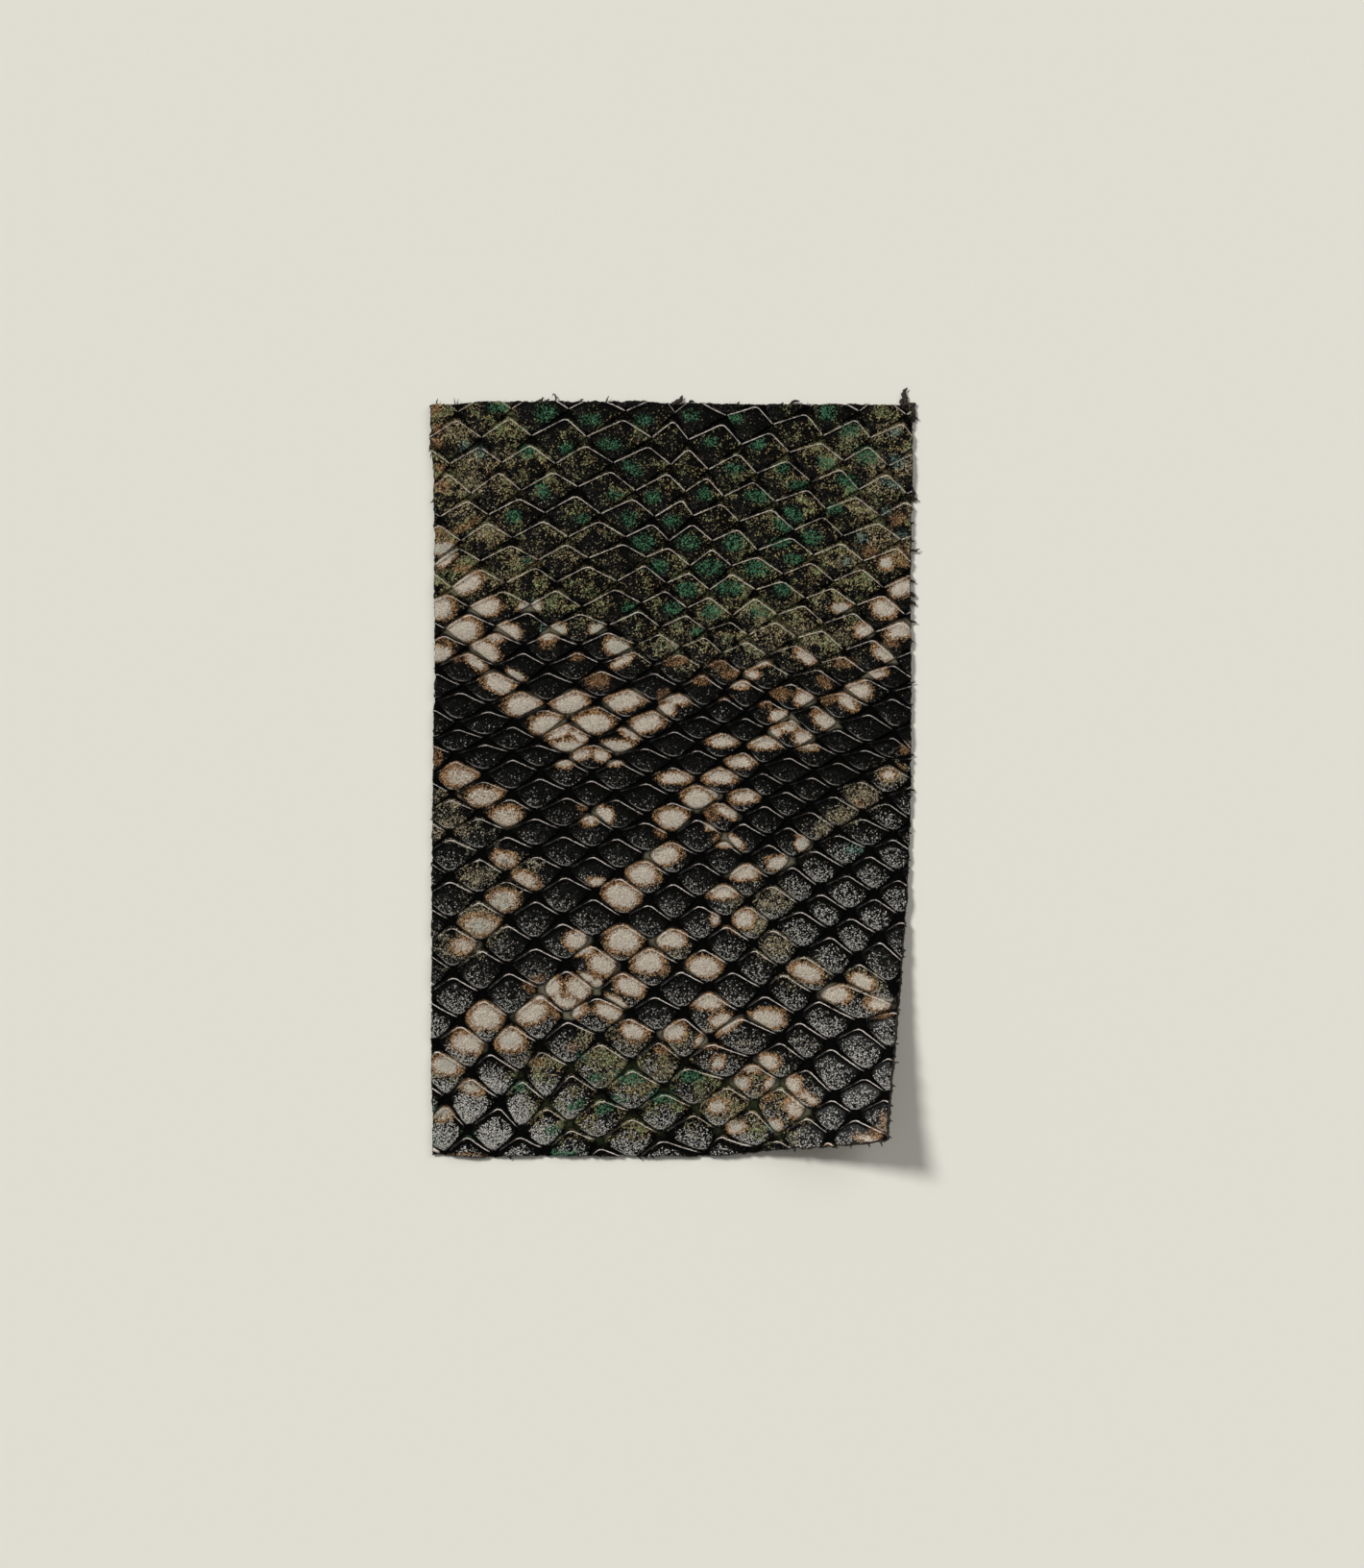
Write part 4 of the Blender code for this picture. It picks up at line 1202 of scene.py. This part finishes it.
class Graph:
    """The node graph of one finish."""

    def __init__(self, name: str) -> None:
        """Start a finish with one shader and its output.

        Args:
            name: What to call the finish.
        """
        self.material = bpy.data.materials.new(name)
        self.material.use_nodes = True
        self.tree = self.material.node_tree
        self.tree.nodes.clear()
        self.shader = self.node("ShaderNodeBsdfPrincipled")
        output = self.node("ShaderNodeOutputMaterial")
        self.tree.links.new(self.shader.outputs["BSDF"], output.inputs["Surface"])
        self.place = self.value(self.node("ShaderNodeTexCoord"), "Object")

    def node(self, kind: str, settings: dict[str, object] | None = None,
             sockets: dict[str | int, Input] | None = None) -> bpy.types.Node:
        """Add one node.

        Args:
            kind: The node's type.
            settings: Its settings, made first.
            sockets: What goes into its sockets, by name or number.

        Returns:
            The node.
        """
        made = self.tree.nodes.new(kind)
        for name, setting in (settings or {}).items():
            setattr(made, name, setting)
        for name, value in (sockets or {}).items():
            self.feed(made.inputs[name], value)
        return made

    def feed(self, socket: bpy.types.NodeSocket, value: Input) -> None:
        """Give a socket a worked-out value, a number or a colour.

        Args:
            socket: The socket.
            value: What it gets.
        """
        if isinstance(value, Value):
            self.tree.links.new(value.socket, socket)
        elif isinstance(value, tuple) and socket.type == "RGBA":
            socket.default_value = (*value, 1.0)
        else:
            socket.default_value = value

    def value(self, node: bpy.types.Node, output: str | int) -> Value:
        """Take one output of a node as a value."""
        return Value(self, node.outputs[output])

    def maths(self, operation: str, first: Input, second: Input = 0.0) -> Value:
        """Work out one sum, held to no range."""
        return self.value(self.node("ShaderNodeMath", {"operation": operation}, {0: first, 1: second}), 0)

    def most(self, first: Input, second: Input) -> Value:
        """Return the greater of two values."""
        return self.maths("MAXIMUM", first, second)

    def share(self, name: str) -> Value:
        """Read a number kept on the mesh's points."""
        return self.value(self.node("ShaderNodeAttribute", {"attribute_name": name}), "Fac")

    def rise(self, value: Input, low: float, high: float) -> Value:
        """Rise smoothly from 0 where a value is low to 1 where it is high."""
        return self.value(self.node("ShaderNodeMapRange", {"interpolation_type": "SMOOTHSTEP"},
                                    {"Value": value, "From Min": low, "From Max": high}), "Result")

    def noise(self, size: float, detail: float, roughness: float) -> Value:
        """Read cloudy noise, about 0.5 on average.

        Args:
            size: How wide one cloud is, in metres.
            detail: How many finer layers it has.
            roughness: How strong the finer layers are.

        Returns:
            The noise.
        """
        made = self.node("ShaderNodeTexNoise", None, {"Vector": self.place, "Scale": 1.0 / size,
                                                      "Detail": detail, "Roughness": roughness})
        return self.value(made, 0)

    def flecks(self, size: float) -> tuple[Value, Value, Value]:
        """Lay a layer of small flecks.

        Args:
            size: The width of a fleck in metres.

        Returns:
            Two random numbers from 0 to 1 for each fleck, and how near to its middle a point is.
        """
        cells = self.node("ShaderNodeTexVoronoi", None, {"Vector": self.place, "Scale": 1.0 / size})
        numbers = self.node("ShaderNodeSeparateColor", None, {0: self.value(cells, "Color")})
        middle = 1.0 - self.rise(self.value(cells, "Distance"), 0.32, 0.62)
        return self.value(numbers, 0), self.value(numbers, 1), middle

    def mix(self, share: Input, first: Input, second: Input) -> Value:
        """Mix two colours, all of the second where the share is 1."""
        return self.value(self.node("ShaderNodeMix", {"data_type": "RGBA", "clamp_factor": True},
                                    {0: share, 6: first, 7: second}), 2)

    def scale(self, colour: Input, factor: Input) -> Value:
        """Multiply a colour by a number."""
        return self.value(self.node("ShaderNodeVectorMath", {"operation": "SCALE"},
                                    {0: colour, "Scale": factor}), 0)

    def bump(self, height: Value, depth: float) -> None:
        """Raise the shader's surface by a height from 0 to 1, depth metres in all."""
        made = self.node("ShaderNodeBump", None, {"Strength": 1.0, "Distance": depth, "Height": height})
        self.feed(self.shader.inputs["Normal"], self.value(made, 0))

    def dress(self, **values: Input) -> None:
        """Feed the shader's sockets, an underscore in a name standing for a space."""
        for name, value in values.items():
            self.feed(self.shader.inputs[name.replace("_", " ")], value)


@dataclass(frozen=True)
class ScaleFinish:
    """The scaled side: near-black grained leather, with its speckled tints and pale patches, and painted
    highlights on its grain, lips and crests.
    """

    name: str = "scaled_leather"
    grain: float = 0.31 * MM
    fleck: float = 0.23 * MM
    cloud: float = 2.6 * MM
    fine_cloud: float = 0.8 * MM
    depth: float = 0.07 * MM
    dark: Colour = (0.0012, 0.0011, 0.0009)
    # Colour of the painted highlights: the grain's glints, its sheen and the lit lower lips
    painted_glint: Colour = (0.590, 0.570, 0.515)
    cream: Colour = (0.520, 0.445, 0.350)
    rust: Colour = (0.330, 0.150, 0.068)
    khaki: Colour = (0.340, 0.230, 0.105)
    moss: Colour = (0.120, 0.135, 0.062)
    clay: Colour = (0.200, 0.185, 0.145)
    bog: Colour = (0.028, 0.034, 0.014)
    beige: Colour = (0.330, 0.270, 0.165)
    green: Colour = (0.062, 0.205, 0.105)
    teal: Colour = (0.200, 0.320, 0.265)
    olive: Colour = (0.150, 0.134, 0.090)
    ash: Colour = (0.370, 0.365, 0.315)
    # Colour of the crest line: worn edge and painted highlight
    rim: Colour = (0.620, 0.545, 0.485)

    def material(self) -> bpy.types.Material:
        """Make the finish, layer by layer.

        Returns:
            The finish.
        """
        layers = ScaleLayers(self)
        layers.lay_painted_highlights()
        layers.lay_dust()
        layers.lay_tints()
        layers.lay_pale_patches()
        layers.lay_grooves()
        layers.lay_lips()
        layers.lay_crest_wear_and_highlights()
        return layers.finished()


class ScaleLayers:
    """The layers of colour on the scaled side, each laid over those before it.

    The shares say where on its scale, and where on the sheet, a point is. The random numbers and
    clouds break the layers up into flecks.
    """

    def __init__(self, finish: ScaleFinish) -> None:
        """Read the shares kept on the mesh, lay the flecks and clouds, and start from black.

        Args:
            finish: The finish that the layers make up.
        """
        graph = Graph(finish.name)
        self.graph = graph
        self.finish = finish
        self.colour: Input = finish.dark
        self.inside, self.lower, self.inner = map(graph.share, ("inside", "lower", "inner"))
        self.low, self.right, self.taper = map(graph.share, ("low", "right", "taper"))
        # shine says where the painted sheen and glints are thickest
        self.pale, self.khaki, self.shine = map(graph.share, ("pale", "khaki", "shine"))
        self.row = graph.share("row")
        self.top_rows = 1.0 - graph.rise(self.row, 0.22, 0.40)
        self.low_rows = graph.rise(self.row, 0.45, 0.74)
        self.body = graph.rise(self.inner, -0.40, 0.04)
        self.pad = graph.rise(graph.share("depth"), -0.15, 0.75)
        self.fine, self.other, self.fine_dot = graph.flecks(finish.fleck)
        self.grain, self.tone, self.dot = graph.flecks(finish.grain)
        self.cloud = graph.noise(finish.cloud, 3.0, 0.6)
        self.fine_cloud = graph.noise(finish.fine_cloud, 3.0, 0.65)

    def lay(self, share: Input, colour: Input) -> None:
        """Lay a colour over the layers so far, all of it where the share is 1."""
        self.colour = self.graph.mix(share, self.colour, colour)

    def lay_painted_highlights(self) -> None:
        """Lay the painted highlights that stand for the grain's glints and sheen, thickest low on the pads
        and in the shiny areas.
        """
        graph = self.graph
        spread = (0.005 + 0.03 * graph.rise(self.row, 0.15, 0.40) + (0.09 + 0.22 * self.low_rows) * self.low
                  + 0.03 * self.low_rows + 0.03 * graph.share("tone"))
        spread = (spread + self.shine * (0.46 + 0.34 * self.low)) * (0.02 + 0.98 * self.pad)
        spread = spread * (0.45 + 1.1 * self.cloud) * (1.0 - 0.5 * self.top_rows)
        # Painted highlights: coarse and fine dots stand for the grain's glints, over a faint painted sheen
        coarse = graph.rise(self.grain + spread, 0.97, 1.10) * self.dot * (0.35 + 0.65 * self.tone)
        fine = graph.rise(self.fine + 0.7 * spread, 0.97, 1.10) * self.fine_dot * (0.30 + 0.70 * self.other)
        painted_sheen = self.pad * graph.rise(self.fine, 0.30, 1.0) * (0.20 + 0.80 * self.low)
        self.lay((0.035 + 0.05 * self.low_rows) * painted_sheen * (0.3 + 1.4 * self.cloud), self.finish.painted_glint)
        self.lay(graph.most(coarse, fine) * (0.92 + 0.55 * self.shine), self.finish.painted_glint)

    def lay_dust(self) -> None:
        """Lay the brown, green and grey dust, and the beige one over it."""
        graph, finish = self.graph, self.finish
        clump = graph.rise(self.cloud, 0.36, 0.74)
        dusting = (0.02 + 0.10 * self.top_rows + self.khaki) * clump * (1.7 - 1.2 * self.low)
        dust = graph.mix(graph.rise(self.cloud + 0.3 * (self.other - 0.5), 0.42, 0.66),
                         finish.khaki, finish.moss)
        dust = graph.mix(0.65 * (1.0 - self.top_rows) * (1.0 - graph.rise(self.row, 0.80, 0.90)),
                         dust, finish.clay)
        self.lay(graph.rise(self.fine + 0.76 * dusting, 0.97, 1.12),
                 graph.scale(dust, 0.03 + 3.5 * self.other * self.tone))
        beige = graph.share("beige") * (0.20 + 1.4 * self.cloud)
        self.lay(graph.rise(self.other + 0.74 * beige, 0.98, 1.20),
                 graph.scale(finish.beige, 0.20 + 1.2 * self.fine))

    def lay_tints(self) -> None:
        """Lay the green specks."""
        graph, finish = self.graph, self.finish
        green = graph.share("green") * (0.45 + 1.1 * self.fine_cloud)
        leaf = graph.mix(graph.rise(self.other, 0.45, 0.95) * (1.0 - 0.7 * green), finish.green, finish.moss)
        self.lay(graph.rise(0.70 * self.fine + 0.50 * green, 0.68, 1.00),
                 graph.scale(leaf, 0.05 + 0.45 * self.tone + 1.0 * self.other * self.fine))

    def lay_pale_patches(self) -> None:
        """Lay the pale patches with their brown borders, the brown stains and the blue-green tinge."""
        graph, finish = self.graph, self.finish
        near = graph.rise(self.pale, 0.0, 0.14)
        ragged = self.pale + near * (0.50 * (self.fine_cloud - 0.5) + 0.42 * (self.fine - 0.5))
        border = graph.rise(ragged + near * (0.30 * self.grain + 0.90 * self.cloud - 0.60), 0.14, 0.50)
        stain = graph.rise(graph.share("rust") * (0.5 + self.fine_cloud) + 0.9 * (self.other - 0.6),
                           0.36, 1.05)
        self.lay(graph.most(border * 0.92, stain * 0.62),
                 graph.scale(graph.mix(self.fine * 0.8, finish.rust, finish.khaki),
                             0.14 + 1.15 * self.other * (0.5 + self.fine)))
        cream = graph.rise(ragged - 0.16 * (1.0 - self.pad), 0.48, 0.86)
        self.lay(cream, graph.scale(graph.mix(self.tone * 0.45, finish.cream, finish.ash),
                                    0.70 + 0.50 * self.other))
        blue = graph.share("blue") * (0.3 + 1.0 * self.fine_cloud)
        self.lay(graph.rise(0.60 * self.other + 0.62 * blue, 0.64, 1.06) * (0.8 - 0.35 * cream),
                 graph.scale(finish.teal, 0.30 + 0.9 * self.fine))

    def lay_grooves(self) -> None:
        """Lay the dark grooves, olive beside the pale patches and damp green in the lowest rows, with
        painted shade at the foot of each pad.
        """
        graph, finish = self.graph, self.finish
        halo = graph.share("halo") * (0.40 + 1.0 * self.cloud)
        groove = graph.mix(graph.rise(halo + 0.08 * self.khaki, 0.42, 1.0), finish.dark, finish.olive)
        damp = self.khaki * graph.rise(self.row, 0.84, 0.93) * graph.rise(self.cloud, 0.35, 0.65)
        groove = graph.mix(damp, groove, finish.bog)
        # Painted shade: the groove darkens along the foot of each pad
        foot = graph.rise(self.inner, -0.75, -0.30) * (1.0 - graph.rise(self.inner, -0.20, 0.05))
        self.lay((1.0 - self.body) * (1.0 - 0.35 * self.top_rows * self.khaki),
                 graph.scale(groove, 1.0 - 0.80 * foot))

    def lay_lips(self) -> None:
        """Lay the light that catches the lower lips of the scales."""
        graph = self.graph
        lip = graph.rise(self.lower, -0.02, 0.10) * (1.0 - graph.rise(self.lower, 0.14, 0.34))
        lip = lip * self.body * graph.rise(self.low, 0.50, 0.95) * (0.2 + 1.0 * self.fine_cloud)
        lip = lip * (1.0 - self.pale) * (1.0 - 0.6 * self.top_rows)
        self.lay(graph.rise(lip, 0.20, 0.80) * 0.60, self.finish.painted_glint)

    def lay_crest_wear_and_highlights(self) -> None:
        """Lay the light line along the crests of the scales: partly their worn edge, partly a painted
        highlight that is brighter on the right flank.
        """
        graph, finish = self.graph, self.finish
        waver = 0.24 * (self.fine_cloud - 0.5) * (1.0 - 0.3 * self.top_rows)
        across = (self.inside + waver) * 1.2
        line = graph.rise(across, -0.16, -0.03) * (1.0 - graph.rise(across, 0.05, 0.20))
        split = 1.0 - graph.rise(abs(across - 0.03), 0.0, 0.07)
        line = line * (1.0 - 0.25 * split * self.top_rows)
        # Painted highlight: the left flank is dimmer than the right except in the top rows, and the right
        # flank of the low rows is brightest
        left = (1.0 - self.right) * (0.22 + 0.12 * self.low_rows + 0.66 * self.top_rows)
        worn = line * (self.right + left) * self.taper * (1.3 * self.fine_cloud + 1.5 * self.cloud - 0.70)
        rim = graph.mix(graph.rise(self.khaki, 0.2, 0.9) * 0.35, finish.rim, finish.beige)
        rim = graph.mix(graph.rise(self.pale, 0.2, 0.7) * 0.6, rim, finish.cream)
        light = 0.40 + 0.5 * self.other + 0.45 * self.low_rows * self.right + 0.30 * self.top_rows
        self.lay(graph.rise(worn, 0.12, 0.70), graph.scale(rim, light))

    def finished(self) -> bpy.types.Material:
        """Feed the layers to the shader.

        Returns:
            The finish.
        """
        roughness = 0.50 + 0.20 * (1.0 - self.body) + 0.15 * self.cloud
        self.graph.dress(Base_Color=self.colour, Roughness=roughness, Specular_IOR_Level=0.03,
                         Coat_Weight=0.06 * self.body, Coat_Roughness=0.32)
        self.graph.bump(self.dot * (0.35 + 0.65 * self.body) + 0.4 * self.fine_cloud, self.finish.depth)
        return self.graph.material


@dataclass(frozen=True)
class FibreFinish:
    """Plain fibrous leather in two tones, in threads and in larger worn areas."""

    name: str
    dark: Colour
    light: Colour
    thread: float
    tones: tuple[float, float]
    roughness: float
    depth: float
    wear_share: float = 0.0
    wear: float = 14.0 * MM

    def material(self) -> bpy.types.Material:
        """Make the finish.

        Returns:
            The finish.
        """
        graph = Graph(self.name)
        nap = graph.noise(self.thread, 4.0, 0.7)
        worn = (1.0 - self.wear_share) * nap + self.wear_share * graph.noise(self.wear, 3.0, 0.55)
        graph.dress(Base_Color=graph.mix(graph.rise(worn, *self.tones), self.dark, self.light),
                    Roughness=self.roughness)
        graph.bump(nap, self.depth)
        return graph.material


# The finishes in the order of the parts
FINISHES = (
    ScaleFinish(),
    FibreFinish("cut_fibre", (0.012, 0.010, 0.008), (0.115, 0.070, 0.040), 0.35 * MM, (0.48, 0.72), 0.9,
                0.12 * MM),
    FibreFinish("flesh_suede", (0.170, 0.130, 0.090), (0.300, 0.245, 0.180), 0.5 * MM, (0.38, 0.62), 0.95,
                0.10 * MM, wear_share=0.5),
)


@dataclass(frozen=True)
class Sun:
    """One soft light over the whole set: the way towards it, its strength and the degrees it spans."""

    name: str
    way: tuple[float, float, float]
    strength: float
    softness: float

    def shine(self) -> None:
        """Add the light."""
        bpy.ops.object.light_add(type="SUN", location=self.way)
        lamp = bpy.context.object
        lamp.name = self.name
        lamp.data.energy = self.strength
        lamp.data.angle = math.radians(self.softness)
        lamp.rotation_euler = (-Vector(self.way)).to_track_quat("-Z", "Y").to_euler()


@dataclass(frozen=True)
class Studio:
    """The plain backdrop, the lights and the camera."""

    lens: float = 100.0
    film: float = 36.0
    floor_size: float = 6.0
    floor_colour: Colour = (0.80, 0.785, 0.695)
    suns: tuple[Sun, ...] = (Sun("key", (-0.60, 0.50, 0.66), 2.82, 14.0),
                             Sun("rim", (0.55, 0.60, 0.58), 0.80, 40.0))
    ambient: float = 0.20

    def lay_floor(self) -> None:
        """Lay the floor that the skin rests on."""
        bpy.ops.mesh.primitive_plane_add(size=self.floor_size)
        floor = bpy.context.object
        floor.name = "floor"
        graph = Graph("floor_paper")
        graph.dress(Base_Color=self.floor_colour, Roughness=1.0, Specular_IOR_Level=0.0)
        floor.data.materials.append(graph.material)

    def set_world(self) -> None:
        """Fill the surroundings with even white light."""
        world = bpy.data.worlds.new("studio")
        world.use_nodes = True
        ground = world.node_tree.nodes["Background"]
        ground.inputs["Color"].default_value = (1.0, 1.0, 1.0, 1.0)
        ground.inputs["Strength"].default_value = self.ambient
        bpy.context.scene.world = world

    def set_camera(self) -> None:
        """Look straight down from where the photograph was taken."""
        height = VIEW_PIXELS_HIGH * PIXEL * self.lens / self.film
        bpy.ops.object.camera_add(location=(*at_pixel(*PIXEL_OF_VIEW), height))
        camera = bpy.context.object
        camera.data.lens = self.lens
        camera.data.sensor_width = self.film
        camera.data.sensor_fit = "AUTO"
        bpy.context.scene.camera = camera

    def build(self) -> None:
        """Set up the whole studio."""
        self.lay_floor()
        for sun in self.suns:
            sun.shine()
        self.set_world()
        self.set_camera()
        bpy.context.scene.view_settings.view_transform = "Standard"


def main() -> None:
    """Build the skin and its studio in the shared frame."""
    logging.basicConfig(level=logging.INFO, format="%(message)s")
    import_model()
    curl = Curl()
    lattice = Lattice(curl)
    relief = Relief()
    edge = CutEdge()
    sheet = SkinSheet(lattice, relief, edge, curl).build()
    for finish in FINISHES:
        sheet.data.materials.append(finish.material())
    Markings(lattice, relief).lay(sheet.data)
    fringe = Fringe(edge, curl).build()
    fringe.data.materials.append(sheet.data.materials[Part.CUT.value])
    for piece in (sheet, fringe):
        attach(piece, BODY)
        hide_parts(NODE)
    Studio().build()


if __name__ == "__main__":
    main()
